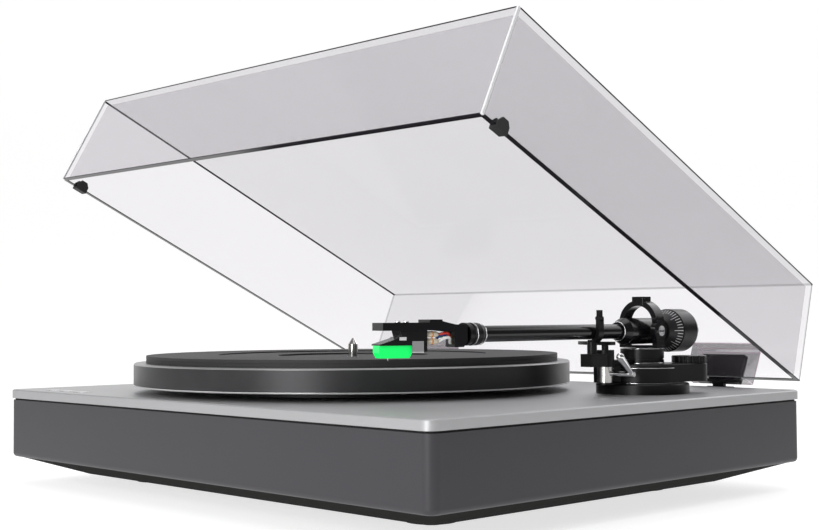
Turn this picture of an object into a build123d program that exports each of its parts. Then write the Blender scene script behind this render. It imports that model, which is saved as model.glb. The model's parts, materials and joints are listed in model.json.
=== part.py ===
from build123d import *
import os
from math import acos, cos, degrees, radians, sin, sqrt

os.makedirs("parts", exist_ok=True)

# A belt-driven record player: a plinth on four feet, a platter, a straight tone arm
# and a clear hinged lid, shown propped open with the arm parked in its rest.
# Modelled about the middle of the plinth, level with the soles of the feet. The last
# lines of this file move every piece onto the shared frame's origin, which is under
# the middle of the whole object.
# +X to the right, +Y to the back, +Z up. Millimetres.

# Clearances
seat_gap = 0.3          # between curved pieces that must stay clear of each other
running_gap = 0.06      # a shaft in its bore, on the radius
press_gap = 0.05        # a bush or ball in its pocket, on the radius
slip_gap = 0.15         # a piece that passes through a plate, on each side
cut_margin = 1.0        # how far a cut runs past the face it opens

# Plinth
plate_width = 435.0
plate_depth = 354.0
plate_thickness = 6.1
plate_top_z = 66.1
plate_corner_r = 7.4
plate_chamfer = 0.8
gap_height = 1.3        # shadow gap between the plate and the casing
gap_inset = 2.2
casing_inset = 0.9
casing_bottom_z = 17.8
casing_edge_r = 3.0
pan_bottom_z = 5.2
pan_top_inset = 4.5
pan_bottom_inset = 40.0
pan_wall = 2.0
pan_boss_r = 8.0
pan_corner_r = 6.0
pocket_corner_r = 3.0
foot_side_inset = 77.5
foot_end_inset = 77.0
foot_x = plate_width / 2 - foot_side_inset
foot_y = plate_depth / 2 - foot_end_inset
foot_r = 17.0
foot_sole_r = 15.0
foot_bevel = 2.0
foot_recess_r = 5.5
foot_recess_depth = 3.0
foot_screw_hole_r = 2.1

plate_bottom_z = plate_top_z - plate_thickness
casing_top_z = plate_bottom_z - gap_height
casing_rear_y = plate_depth / 2 - casing_inset

# Platter, bearing and drive
spindle_x = -23.0
spindle_y = -15.0
platter_r = 152.0
platter_bottom_z = 71.0
platter_top_z = 86.3
platter_rim_inner_r = 138.0
platter_web_bottom_z = 80.0
platter_edge_chamfer = 0.7
mat_r = 143.6
mat_top_z = 91.3
mat_groove_z = 88.7
mat_groove_width = 0.5
mat_groove_depth = 0.5
mat_inner_zone_r = 94.0
mat_inner_zone_z = 90.5
mat_label_r = 53.0
mat_label_z = 89.4
spindle_body_r = 4.2
spindle_tip_r = 3.55
spindle_shoulder_z = 98.0
spindle_tip_z = 102.2
spindle_nose_r = 0.7
ring_wall = 6.0
ring_bottom_z = 67.2
inner_web_thickness = 4.0
inner_hub_r = 16.0
inner_hub_bottom_z = 70.5
inner_window_count = 6
inner_window_r = 22.0
inner_window_pitch_r = 66.0
shaft_r = 5.0
bearing_inner_r = 7.0
bearing_outer_r = 9.5
bearing_flange_r = 14.0
bearing_flange_thickness = 3.0
bearing_bottom_z = 24.0
bearing_floor = 3.0
bush_length = 10.0
bush_above_shaft_end = 2.0
thrust_ball_r = 2.4
bearing_well_r = 16.0
belt_thickness = 0.7
belt_bottom_z = 69.0
belt_top_z = 74.0
pulley_r = 7.0
pulley_flange_r = 8.4
pulley_flange = 1.0
pulley_bottom_z = 66.7
pulley_top_z = 77.5
motor_bearing_angle = 135.0   # where the motor stands, seen from the spindle
pulley_rim_gap = 0.6    # pulley flange to the rim of the platter
pulley_ring_gap = 3.0   # pulley to the belt track of the inner platter
motor_distance = platter_rim_inner_r - pulley_flange_r - pulley_rim_gap
ring_r = motor_distance - pulley_r - pulley_ring_gap   # belt track of the inner platter
motor_shaft_r = 1.5
motor_shaft_bottom_z = 38.0
motor_can_r = 18.0
motor_can_bottom_z = 27.0
motor_flange_r = 28.0
motor_flange_thickness = 2.5
motor_ring_inner_r = 20.0
motor_ring_height = 3.0
motor_ledge_z = 52.0
motor_well_r = 21.0
motor_hole_r = 5.0
motor_x = spindle_x + motor_distance * cos(radians(motor_bearing_angle))
motor_y = spindle_y + motor_distance * sin(radians(motor_bearing_angle))

# Buttons in the top plate
button_pitch = 19.0
button_side_inset = 36.5
button_front_inset = 16.0
first_button_x = button_side_inset - plate_width / 2
button_x = [first_button_x + number * button_pitch for number in range(3)]
button_y = button_front_inset - plate_depth / 2
button_r = 6.2
button_cap_height = 6.0
button_proud = 0.25
button_chamfer = 0.3
button_stem_r = 2.0
button_travel = 1.2
switch_size = 7.0
switch_bottom_z = 46.0
switch_top_z = 54.0
switch_board_thickness = 1.6
button_pocket_margin = 4.0

# Electronics bay and back panel
bay_x0 = -60.0
bay_x1 = 95.0
bay_rear_inset = 65.0     # front wall of the bay, from the rear of the plate
bay_y0 = plate_depth / 2 - bay_rear_inset
bay_top_z = 50.0
rear_wall = 12.0
board_thickness = 1.6
board_gap = 6.0          # board edge to the walls of the bay
board_z = 36.0
board_post_r = 3.5
board_post_inset = 1.0
board_corner_r = 2.0
capacitor_r = 5.0
capacitor_height = 9.0
capacitor_pitch = 14.0
parts_inset = 6.0        # components, in front of the board's middle
chip_width = 18.0
chip_depth = 12.0
chip_height = 3.0
panel_x = 20.0
panel_width = 96.0
panel_height = 24.0
panel_z = 38.0
panel_thickness = 2.0
panel_corner_r = 2.0
panel_window_margin = 7.0
phono_pitch = 16.0
phono_x = 2.0
phono_r = 4.15
phono_bore_r = 1.6
phono_reach = 9.0
phono_collar_r = 6.0
phono_collar = 1.5
phono_body_r = 5.0
phono_body_length = 14.0
post_x = 32.0
post_r = 4.5
post_reach = 10.0
post_shank_r = 2.0
post_shank_length = 16.0
post_chamfer = 0.8
inlet_x = 54.0
inlet_size = 10.0
inlet_bore_r = 3.0
inlet_pin_r = 1.05
inlet_depth = 9.0
inlet_length = 14.0
inlet_pin_set_back = 1.0

# Lid, given in its own plane: rearmost rim line, forward and up from there
lid_open_angle = 25.64
lid_overhang = 0.9       # its rear rim line, behind the plate
lid_rim_y = plate_depth / 2 + lid_overhang
lid_rim_z = 71.7
lid_narrower = 3.65      # than the plate
lid_shorter = 6.0
lid_width = plate_width - lid_narrower
lid_depth = plate_depth - lid_shorter
lid_height = 70.8
lid_side_taper = 3.5
lid_front_taper = 3.3
lid_rear_taper = 5.7
lid_wall = 3.2
lid_lift = 2.0           # rim above the plate when shut
hinge_side_inset = 68.5
hinge_overhang = 6.9     # of its line, behind the plate
hinge_x = plate_width / 2 - hinge_side_inset
hinge_y = plate_depth / 2 + hinge_overhang
hinge_z = 61.3
hinge_pin_r = 1.5
hinge_barrel_r = 4.8
hinge_barrel_width = 9.0
hinge_ear_width = 5.7
hinge_side_gap = 0.3
hinge_base_bottom_z = 34.0
hinge_base_thickness = 4.0
hinge_base_below_pin = 6.0
hinge_ear_above = 2.8    # below the pin's line, at the casing
hinge_ear_drop = 12.0    # below the pin's line, at the back
hinge_ear_foot = 4.0     # above the bottom of the base
knuckle_front = 3.5      # of the knuckle's slope, from the pin
knuckle_top = 2.0
blade_width = 34.0
blade_thickness = 4.4
blade_height = 20.0
blade_bottom = -1.0      # below the rim
socket_width = 50.0
socket_height = 27.0
socket_wall = 2.2
socket_bevel = 2.0
pocket_side = 0.2        # round a blade or a rim
bumper_front_inset = 16.0
bumper_distance = lid_depth - bumper_front_inset   # from the rear of the rim
bumper_length = 9.0
bumper_height = 6.0
bumper_shoulder = 3.0
bumper_wall = 1.3
bumper_clearance = 0.3   # above the plate when the lid is shut

# Tone arm. Its pivot stands behind and right of the platter, and the arm points
# forward. Distances along the arm are measured forward from the pivot.
pivot_side_inset = 59.5
pivot_x = plate_width / 2 - pivot_side_inset
pivot_y = 78.6
arm_z = 106.7
tube_r = 4.75
tube_wall = 0.8
tube_start = 14.0
tube_end = 166.0
housing_r = 8.6
housing_front = 20.6
housing_back = -12.0
housing_nose = 26.0
housing_nose_r = 6.2
housing_bevel = 1.5
rear_shaft_r = 4.0
rear_shaft_end = -58.0
rear_shaft_tip_r = 5.0
rear_shaft_tip = 4.0
collar_start = 155.5
collar_end = 170.0
collar_r = 6.55
# Along the collar from its back, and from its front, with the drop below its radius
collar_ramp = ((0, 1.2), (2.5, 0.5), (4.0, 0))
collar_groove = ((5.0, 0), (4.6, 0.6), (3.8, 0.6), (3.4, 0))
shell_angle = 22.0       # headshell turned in towards the spindle
shell_length = 52.0
shell_shank = 6.0
shell_half_width = 8.5
shell_plate_bottom_z = 109.1
shell_plate_top_z = 113.5
shell_plate_start = 24.0
shell_bump_length = 8.0
shell_bump_top_z = 115.2
shell_pod_length = 8.0
shell_pod_bottom_z = 99.5
shell_pod_top_z = 112.5
shell_pod_nose = 2.5     # slope at the back of the pod, forward and up
shell_pod_nose_rise = 3.0
shell_pod_drop = 1.0     # of the pod's top towards its back
shell_throat = 4.5       # below the pod's top, where the bridge leaves it
shell_throat_run = 8.0   # the bridge's underside ends this far behind the cartridge
shell_bump_step = 0.8
shell_waist_margin = 1.8 # of the neck's sides, outside the tube
shell_waist_end = 5.0    # the waist ends this far behind the cartridge
shell_waist_cut = 3.0    # beyond the sides
shell_tongue = 8.0       # of the shank, in front of the tube's end
shell_slot_places = (28.0, 40.0)
shell_slot_across = 4.8
shell_slot_length = 7.0
shell_slot_width = 2.6
cartridge_back = 25.0
cartridge_length = 28.0
cartridge_half_width = 7.0
cartridge_bottom_z = 100.8
cartridge_front_step = 12.0
cartridge_step_lean = 1.0
cartridge_step_drop = 3.6
cartridge_nose_height = 0.8
cartridge_keel = 4.4     # depth of the body behind the stylus holder
cartridge_keel_back = 3.6
terminal_low = 1.6
terminal_rise = 3.6
terminal_across = 2.6
terminal_r = 0.6
terminal_length = 5.0
stylus_guard_back = 33.5
stylus_guard_front = 53.0
stylus_guard_bottom_z = 93.8
stylus_guard_half_width = 5.0
stylus_guard_slope = 1.5
stylus_guard_nose = 4.0  # height of the guard's front edge
stylus_slot = 2.2        # height and half width of the slot round the cantilever
stylus_slot_front = 2.5
stylus_tip_z = 92.4
stylus_place = 46.0      # along the headshell
cantilever_r = 0.45
cantilever_length = 8.0
cantilever_tip = 0.5     # beyond the stylus tip
cantilever_above = 1.0   # above the bottom of the guard
stylus_point_r = 0.1
stylus_root_r = 0.35
weight_r = 14.4
weight_front = -28.0
weight_back = -45.5
weight_edge_r = 2.5
weight_edge_part = 0.3   # of the edge, at the middle of its bevel
scale_front = -20.0
scale_back = -27.7
scale_front_r = 8.1
scale_back_r = 13.9
bush_r = 6.4
bush_front = -19.0
bush_inset = 2.0         # its back end, inside the counterweight
weight_pitch = 2.0       # travel in one turn
weight_turns = 3

# Yoke that carries the arm, its turret and the base below
arch_half_width = 15.0
arch_wall = 3.6
arch_depth = 8.6
arch_top_z = 126.8
arch_bottom_z = 95.9
cap_width = 9.2
cap_bottom_z = 123.4
cap_top_z = 129.2
cap_corner_r = 0.8
arch_floor_gap = 0.6     # below the arm housing
side_boss_r = 6.6
side_screw_r = 3.4
side_screw_head = 1.0
side_screw_tip_r = 1.6
side_screw_tip_depth = 2.4
turret_r = 14.2
turret_top_z = 95.6
turret_groove = (2.6, 3.4)   # heights above the tower
turret_groove_depth = 0.6
yoke_shaft_r = 4.0
yoke_shaft_bottom_z = 80.0
tower_r = 26.0
tower_bottom_z = 73.9
tower_top_z = 85.5
tower_chamfer = 0.6
lobe_right = 19.0
lobe_back = 26.0
lobe_r = 11.5
step_left = 8.0
step_front = 33.0
step_r = 5.0
step_root_r = 15.0
ledge_margin = 1.2       # round the lift cylinder, below the tower
foot_flange_r = 30.3
foot_flange_top_z = 72.9
foot_flange_chamfer = 0.8
tower_neck_r = 22.0
pillar_r = 11.0
pillar_wall = 3.0
pillar_bottom_z = 42.0
nut_r = 17.0
nut_bottom_z = 50.7
arm_well_r = 22.0

# Arm rest and lift
lift_front = 39.3
lift_cylinder_r = 4.8
lift_cylinder_top_z = 84.7
lift_cylinder_chamfer = 0.4
lift_web_height = 3.0
lift_web_gap = 1.5       # to the turret
lift_column_r = 5.8
lift_column_top_z = 95.0
lift_stem_r = 2.2
lift_stem_bottom_z = 87.0
lift_top_z = 100.3
lift_bar_thickness = 2.2
lift_bar_width = 6.0
lift_bar_inward = 42.0   # degrees of arc towards the spindle
lift_bar_outward = 9.0
lift_travel = 1.3
rest_front = 52.5
rest_bar_half_width = 4.5
rest_bar_top_z = 92.8
rest_bar_end = 58.5
rest_post_r = 3.1
rest_socket_depth = 4.0
cradle_inner_r = 5.15
cradle_outer_r = 7.75
cradle_depth = 5.0
cradle_open_angle = 50.0 # where the open side starts, above the outer side
cradle_low_angle = -105.0
clip_right = 6.2
clip_z = 115.2
clip_top_z = 120.4
clip_thickness = 3.0
clip_root_inner = 3.0    # where its post leaves the ring, above the arm's line
clip_root_outer = 2.0
clip_web_drop = 2.0      # of the web between the ears
clip_slot_height = 4.0
clip_pin_r = 1.0
clip_ear = 1.2
lever_z = 80.0
lever_inner_end = 1.0    # right of the lift's middle
lever_rod_r = 1.6
lever_right = 21.0
lever_forward = 11.9
lever_up = 11.2
lever_root_r = 1.3
lever_tip_r = 2.5
lever_swing = 50.0
dial_r = 11.5
dial_top_z = 90.3
dial_bottom_z = 85.8
dial_scallops = 16
dial_scallop_r = 0.9
dial_scallop_out = 0.2
dial_chamfer = 0.5
dial_post_r = 2.5
dial_lid = 1.2

# Planes and lines that the pieces share
arm_forward = (0, -1, 0)
arm_line = Axis((pivot_x, pivot_y, arm_z), arm_forward)


def arm_plan(height):
    """Level plane centred on the arm's pivot: x to the right, y to the back."""
    return Plane(origin=(pivot_x, pivot_y, height), x_dir=(1, 0, 0), z_dir=(0, 0, 1))


def arm_section(along):
    """Upright plane across the arm: x to the right, y up, facing forward."""
    return Plane(origin=(pivot_x, pivot_y - along, arm_z), x_dir=(1, 0, 0), z_dir=arm_forward)


shell_root = (pivot_x, pivot_y - collar_end)
shell_side = Plane(
    origin=(shell_root[0], shell_root[1], 0),
    x_dir=(-sin(radians(shell_angle)), -cos(radians(shell_angle)), 0),
    z_dir=(-cos(radians(shell_angle)), sin(radians(shell_angle)), 0),
)


def shell_plan(height):
    """Level plane at the back of the headshell: x forward along it, y to its inner side."""
    place = (shell_root[0], shell_root[1], height)
    return Plane(origin=place, x_dir=shell_side.x_dir, z_dir=(0, 0, -1))


lid_sin = sin(radians(lid_open_angle))
lid_cos = cos(radians(lid_open_angle))


def lid_level(height):
    """Plane parallel to the lid's rim, that far above it: x to the right, y to the back."""
    place = (0, lid_rim_y + height * lid_sin, lid_rim_z + height * lid_cos)
    return Plane(origin=place, x_dir=(1, 0, 0), z_dir=(0, lid_sin, lid_cos))


def lid_side(across):
    """Plane across the hinge line at this x: x to the lid's front, y up from its rim."""
    return Plane(origin=(across, lid_rim_y, lid_rim_z), x_dir=(0, -lid_cos, lid_sin), z_dir=(-1, 0, 0))


# The hinge line, seen from the rear of the rim in the lid's own plane
pin_forward = -(hinge_y - lid_rim_y) * lid_cos + (hinge_z - lid_rim_z) * lid_sin
pin_up = (hinge_y - lid_rim_y) * lid_sin + (hinge_z - lid_rim_z) * lid_cos


def turn(points, centre, mode=Mode.ADD):
    """Turn an outline of (radius, height) points about an upright line."""
    upright = Plane(origin=(centre[0], centre[1], 0), x_dir=(1, 0, 0), z_dir=(0, -1, 0))
    with BuildSketch(upright) as outline:
        with BuildLine():
            Polyline(*points, close=True)
        make_face()
    revolve(outline.sketch, axis=Axis((centre[0], centre[1], 0), (0, 0, 1)), mode=mode)


def turn_on_arm(points, mode=Mode.ADD):
    """Turn an outline of (distance forward, radius) points about the arm's own line."""
    lengthwise = Plane(origin=(pivot_x, pivot_y, arm_z), x_dir=arm_forward, z_dir=(1, 0, 0))
    with BuildSketch(lengthwise) as outline:
        with BuildLine():
            Polyline(*points, close=True)
        make_face()
    revolve(outline.sketch, axis=arm_line, mode=mode)


def disc(plane, centre, radius, amount, mode=Mode.ADD):
    """A round plug that rises from a plane at a centre given in that plane."""
    with BuildSketch(plane) as outline:
        with Locations(centre):
            Circle(radius)
    extrude(outline.sketch, amount=amount, mode=mode)


def slab(plane, centre, width, depth, amount, corner=0.0, mode=Mode.ADD):
    """A rectangular block that rises from a plane, with its corners rounded if asked."""
    with BuildSketch(plane) as outline:
        with Locations(centre):
            if corner > 0:
                RectangleRounded(width, depth, corner)
            else:
                Rectangle(width, depth)
    extrude(outline.sketch, amount=amount, mode=mode)


def bar(plane, points, amount, mode=Mode.ADD, both=False):
    """A block with the outline of these points in the plane."""
    with BuildSketch(plane) as outline:
        with BuildLine():
            Polyline(*points, close=True)
        make_face()
    extrude(outline.sketch, amount=amount, both=both, mode=mode)


def ground(height):
    """Level plane over the middle of the plinth."""
    return Plane.XY.offset(height)


pieces = []


def save(piece, name):
    """Label a finished piece and keep it for writing."""
    piece.part.label = name
    pieces.append(piece.part)


# Plinth: routed board casing with wells for what hangs under the plate
foot_spots = [(x, y) for x in (-foot_x, foot_x) for y in (-foot_y, foot_y)]
spindle = (spindle_x, spindle_y)
motor_spot = (motor_x, motor_y)
arm_spot = (pivot_x, pivot_y)
casing_width = plate_width - 2 * casing_inset
casing_depth = plate_depth - 2 * casing_inset
casing_height = casing_top_z - casing_bottom_z
button_span = button_x[2] - button_x[0]
bay_y1 = casing_rear_y - rear_wall
bay_centre = ((bay_x0 + bay_x1) / 2, (bay_y0 + bay_y1) / 2)
window_width = panel_width - 2 * panel_window_margin

with BuildPart() as plinth_casing:
    slab(ground(casing_bottom_z), (0, 0), casing_width, casing_depth, casing_height,
         plate_corner_r - casing_inset)
    fillet(plinth_casing.faces().sort_by(Axis.Z)[0].edges(), casing_edge_r)
    disc(ground(casing_bottom_z), spindle, bearing_well_r, casing_height, Mode.SUBTRACT)
    disc(ground(casing_bottom_z), motor_spot, motor_well_r, casing_height, Mode.SUBTRACT)
    disc(ground(motor_ledge_z), motor_spot, motor_flange_r + slip_gap, casing_height, Mode.SUBTRACT)
    disc(ground(casing_bottom_z), arm_spot, arm_well_r, casing_height, Mode.SUBTRACT)
    slab(ground(casing_bottom_z), bay_centre, bay_x1 - bay_x0, bay_y1 - bay_y0,
         bay_top_z - casing_bottom_z, pocket_corner_r, Mode.SUBTRACT)
    slab(ground(switch_bottom_z - switch_board_thickness), (button_x[1], button_y),
         button_span + switch_size + 2 * button_pocket_margin,
         switch_size + 2 * button_pocket_margin, casing_height, pocket_corner_r, Mode.SUBTRACT)
    rear_wall_plane = Plane(origin=(panel_x, casing_rear_y, panel_z), x_dir=(-1, 0, 0),
                            z_dir=(0, 1, 0))
    slab(rear_wall_plane, (0, 0), panel_width + 2 * slip_gap, panel_height + 2 * slip_gap,
         -panel_thickness, panel_corner_r, Mode.SUBTRACT)
    slab(rear_wall_plane, (0, 0), window_width, panel_height - panel_window_margin,
         -rear_wall - cut_margin, panel_corner_r, Mode.SUBTRACT)
save(plinth_casing, "plinth_casing")

with BuildPart() as gap_mat:
    slab(ground(casing_top_z), (0, 0), plate_width - 2 * gap_inset, plate_depth - 2 * gap_inset,
         gap_height, plate_corner_r - gap_inset)
    disc(ground(casing_top_z), spindle, bearing_well_r, gap_height, Mode.SUBTRACT)
    disc(ground(casing_top_z), motor_spot, motor_well_r, gap_height, Mode.SUBTRACT)
    disc(ground(casing_top_z), arm_spot, pillar_r + slip_gap, gap_height, Mode.SUBTRACT)
    slab(ground(casing_top_z), (button_x[1], button_y), button_span + 2 * button_r + 2,
         2 * button_r + 2, gap_height, pocket_corner_r, Mode.SUBTRACT)
save(gap_mat, "gap_mat")

with BuildPart() as top_plate:
    slab(ground(plate_bottom_z), (0, 0), plate_width, plate_depth, plate_thickness, plate_corner_r)
    chamfer(top_plate.faces().sort_by(Axis.Z)[-1].edges(), plate_chamfer)
    disc(ground(plate_bottom_z), spindle, bearing_outer_r + slip_gap, plate_thickness, Mode.SUBTRACT)
    disc(ground(plate_bottom_z), motor_spot, motor_hole_r, plate_thickness, Mode.SUBTRACT)
    disc(ground(plate_bottom_z), arm_spot, pillar_r + slip_gap, plate_thickness, Mode.SUBTRACT)
    for x in button_x:
        disc(ground(plate_bottom_z), (x, button_y), button_r + slip_gap, plate_thickness, Mode.SUBTRACT)
save(top_plate, "top_plate")

# Bottom pan: a shallow tray with sloping sides and a boss over each foot
pan_height = casing_bottom_z - pan_bottom_z
with BuildPart() as bottom_pan:
    with BuildSketch(ground(pan_bottom_z)):
        RectangleRounded(plate_width - 2 * pan_bottom_inset, plate_depth - 2 * pan_bottom_inset,
                         pan_corner_r)
    with BuildSketch(ground(casing_bottom_z)):
        RectangleRounded(plate_width - 2 * pan_top_inset, plate_depth - 2 * pan_top_inset,
                         pan_corner_r)
    loft()
    offset(amount=-pan_wall, openings=bottom_pan.faces().sort_by(Axis.Z)[-1])
    for spot in foot_spots:
        disc(ground(pan_bottom_z), spot, pan_boss_r, pan_height)
        disc(ground(pan_bottom_z), spot, foot_screw_hole_r, pan_height, Mode.SUBTRACT)
save(bottom_pan, "bottom_pan")

# Feet: rubber, with a recess for the screw
foot_names = ["rear_left_foot", "front_left_foot", "front_right_foot", "rear_right_foot"]
for name, side, end in zip(foot_names, (-1, -1, 1, 1), (1, -1, -1, 1)):
    spot = (side * foot_x, end * foot_y)
    with BuildPart() as foot:
        turn([(foot_screw_hole_r, foot_recess_depth), (foot_recess_r, foot_recess_depth),
              (foot_recess_r, 0), (foot_sole_r, 0), (foot_r, foot_bevel), (foot_r, pan_bottom_z),
              (foot_screw_hole_r, pan_bottom_z)], spot)
    save(foot, name)

# Drive: motor on a rubber ring, pulley, belt
with BuildPart() as motor_ring:
    turn([(motor_ring_inner_r, motor_ledge_z), (motor_flange_r, motor_ledge_z),
          (motor_flange_r, motor_ledge_z + motor_ring_height),
          (motor_ring_inner_r, motor_ledge_z + motor_ring_height)], motor_spot)
save(motor_ring, "motor_ring")

flange_bottom_z = motor_ledge_z + motor_ring_height
shaft_bore_r = motor_shaft_r + running_gap
with BuildPart() as motor:
    turn([(0, motor_can_bottom_z), (motor_can_r, motor_can_bottom_z), (motor_can_r, flange_bottom_z),
          (motor_flange_r, flange_bottom_z), (motor_flange_r, flange_bottom_z + motor_flange_thickness),
          (shaft_bore_r, flange_bottom_z + motor_flange_thickness),
          (shaft_bore_r, motor_shaft_bottom_z - seat_gap), (0, motor_shaft_bottom_z - seat_gap)],
         motor_spot)
save(motor, "motor")

with BuildPart() as motor_shaft:
    disc(ground(motor_shaft_bottom_z), motor_spot, motor_shaft_r, pulley_top_z - motor_shaft_bottom_z)
save(motor_shaft, "motor_shaft")

with BuildPart() as motor_pulley:
    turn([(motor_shaft_r + press_gap, pulley_bottom_z), (pulley_flange_r, pulley_bottom_z),
          (pulley_flange_r, pulley_bottom_z + pulley_flange),
          (pulley_r, pulley_bottom_z + 2 * pulley_flange),
          (pulley_r, pulley_top_z - 2 * pulley_flange), (pulley_flange_r, pulley_top_z - pulley_flange),
          (pulley_flange_r, pulley_top_z), (motor_shaft_r + press_gap, pulley_top_z)], motor_spot)
save(motor_pulley, "motor_pulley")


def belt_outline(grow):
    """The two tangents and two arcs of the belt, this far outside ring and pulley."""
    large = ring_r + grow
    small = pulley_r + grow
    spread = degrees(acos((large - small) / motor_distance))
    drive = Plane(origin=(spindle_x, spindle_y, belt_bottom_z),
                  x_dir=(cos(radians(motor_bearing_angle)), sin(radians(motor_bearing_angle)), 0))
    with BuildSketch(drive) as outline:
        with BuildLine():
            far = CenterArc((0, 0), large, spread, 360 - 2 * spread)
            near = CenterArc((motor_distance, 0), small, -spread, 2 * spread)
            Line(far @ 0, near @ 1)
            Line(far @ 1, near @ 0)
        make_face()
    return outline.sketch


with BuildPart() as drive_belt:
    extrude(belt_outline(seat_gap + belt_thickness), amount=belt_top_z - belt_bottom_z)
    extrude(belt_outline(seat_gap), amount=belt_top_z - belt_bottom_z, mode=Mode.SUBTRACT)
save(drive_belt, "drive_belt")

# Platter bearing: housing, two bushes, ball
floor_z = bearing_bottom_z + bearing_floor
with BuildPart() as bearing_housing:
    turn([(0, bearing_bottom_z), (bearing_outer_r, bearing_bottom_z), (bearing_outer_r, plate_top_z),
          (bearing_flange_r, plate_top_z), (bearing_flange_r, plate_top_z + bearing_flange_thickness),
          (bearing_inner_r, plate_top_z + bearing_flange_thickness), (bearing_inner_r, floor_z),
          (0, floor_z)], spindle)
save(bearing_housing, "bearing_housing")

ball_z = floor_z + thrust_ball_r + press_gap
shaft_bottom_z = ball_z + thrust_ball_r + press_gap
low_bush_z = shaft_bottom_z + bush_above_shaft_end
high_bush_z = plate_top_z - bush_length
with BuildPart() as bearing_bushes:
    for z in (low_bush_z, high_bush_z):
        turn([(shaft_r + running_gap, z), (bearing_inner_r - press_gap, z),
              (bearing_inner_r - press_gap, z + bush_length), (shaft_r + running_gap, z + bush_length)],
             spindle)
save(bearing_bushes, "bearing_bushes")

with BuildPart(Plane(origin=(spindle_x, spindle_y, ball_z))) as thrust_ball:
    Sphere(thrust_ball_r)
save(thrust_ball, "thrust_ball")

# Platter: spindle, inner platter with its belt track, outer platter, mat
bore_r = shaft_r + press_gap
web_bottom_z = platter_web_bottom_z - inner_web_thickness
with BuildPart() as inner_platter:
    turn([(bore_r, inner_hub_bottom_z), (inner_hub_r, inner_hub_bottom_z),
          (inner_hub_r, web_bottom_z), (ring_r - ring_wall, web_bottom_z),
          (ring_r - ring_wall, ring_bottom_z), (ring_r, ring_bottom_z),
          (ring_r, platter_web_bottom_z), (bore_r, platter_web_bottom_z)], spindle)
    with BuildSketch(ground(web_bottom_z)) as windows:
        with Locations(spindle):
            with PolarLocations(inner_window_pitch_r, inner_window_count):
                Circle(inner_window_r)
    extrude(windows.sketch, amount=inner_web_thickness, mode=Mode.SUBTRACT)
save(inner_platter, "inner_platter")

with BuildPart() as spindle_shaft:
    turn([(0, shaft_bottom_z), (shaft_r, shaft_bottom_z), (shaft_r, platter_web_bottom_z),
          (spindle_body_r, platter_web_bottom_z), (spindle_body_r, mat_label_z),
          (spindle_tip_r, mat_label_z), (spindle_tip_r, spindle_shoulder_z),
          (spindle_nose_r, spindle_tip_z), (0, spindle_tip_z)], spindle)
save(spindle_shaft, "spindle_shaft")

platter_bore_r = spindle_body_r + press_gap
with BuildPart() as platter:
    turn([(platter_bore_r, platter_web_bottom_z), (platter_rim_inner_r, platter_web_bottom_z),
          (platter_rim_inner_r, platter_bottom_z), (platter_r - platter_edge_chamfer, platter_bottom_z),
          (platter_r, platter_bottom_z + platter_edge_chamfer),
          (platter_r, platter_top_z - platter_edge_chamfer),
          (platter_r - platter_edge_chamfer, platter_top_z), (platter_bore_r, platter_top_z)], spindle)
save(platter, "platter")

with BuildPart() as platter_mat:
    turn([(platter_bore_r, platter_top_z), (mat_r, platter_top_z), (mat_r, mat_groove_z),
          (mat_r - mat_groove_depth, mat_groove_z),
          (mat_r - mat_groove_depth, mat_groove_z + mat_groove_width),
          (mat_r, mat_groove_z + mat_groove_width), (mat_r, mat_top_z), (mat_inner_zone_r, mat_top_z),
          (mat_inner_zone_r, mat_inner_zone_z), (mat_label_r, mat_inner_zone_z),
          (mat_label_r, mat_label_z), (platter_bore_r, mat_label_z)], spindle)
save(platter_mat, "platter_mat")

# Buttons, with the three switches on their board below
cap_top = plate_top_z + button_proud
cap_bottom = cap_top - button_cap_height
for name, x in zip(("power_button", "speed_button_low", "speed_button_high"), button_x):
    with BuildPart() as button:
        disc(ground(cap_bottom), (x, button_y), button_r, button_cap_height)
        chamfer(button.faces().sort_by(Axis.Z)[-1].edges(), button_chamfer)
        disc(ground(switch_top_z + button_travel + seat_gap), (x, button_y), button_stem_r,
             cap_bottom - switch_top_z - button_travel - seat_gap)
    save(button, name)

with BuildPart() as button_switches:
    slab(ground(switch_bottom_z - switch_board_thickness), (button_x[1], button_y),
         button_span + switch_size + button_pocket_margin, switch_size + button_pocket_margin,
         switch_board_thickness)
    for x in button_x:
        slab(ground(switch_bottom_z), (x, button_y), switch_size, switch_size,
             switch_top_z - switch_bottom_z)
save(button_switches, "button_switches")

# Circuit board on posts from the roof of its bay, with its larger components
board_width = bay_x1 - bay_x0 - 2 * board_gap
board_depth = bay_y1 - bay_y0 - 2 * board_gap
board_top_z = board_z + board_thickness
with BuildPart() as circuit_board:
    slab(ground(board_z), bay_centre, board_width, board_depth, board_thickness, board_corner_r)
    for side in (-1, 1):
        for end in (-1, 1):
            post = (bay_centre[0] + side * (board_width / 2 - board_post_r - board_post_inset),
                    bay_centre[1] + end * (board_depth / 2 - board_post_r - board_post_inset))
            disc(ground(board_top_z), post, board_post_r, bay_top_z - board_top_z)
    for number in range(3):
        spot = (bay_centre[0] - board_width / 4 + number * capacitor_pitch,
                bay_centre[1] - parts_inset)
        disc(ground(board_top_z), spot, capacitor_r, capacitor_height)
    slab(ground(board_top_z), (bay_centre[0] + board_width / 5, bay_centre[1] - parts_inset),
         chip_width, chip_depth, chip_height)
save(circuit_board, "circuit_board")

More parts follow.
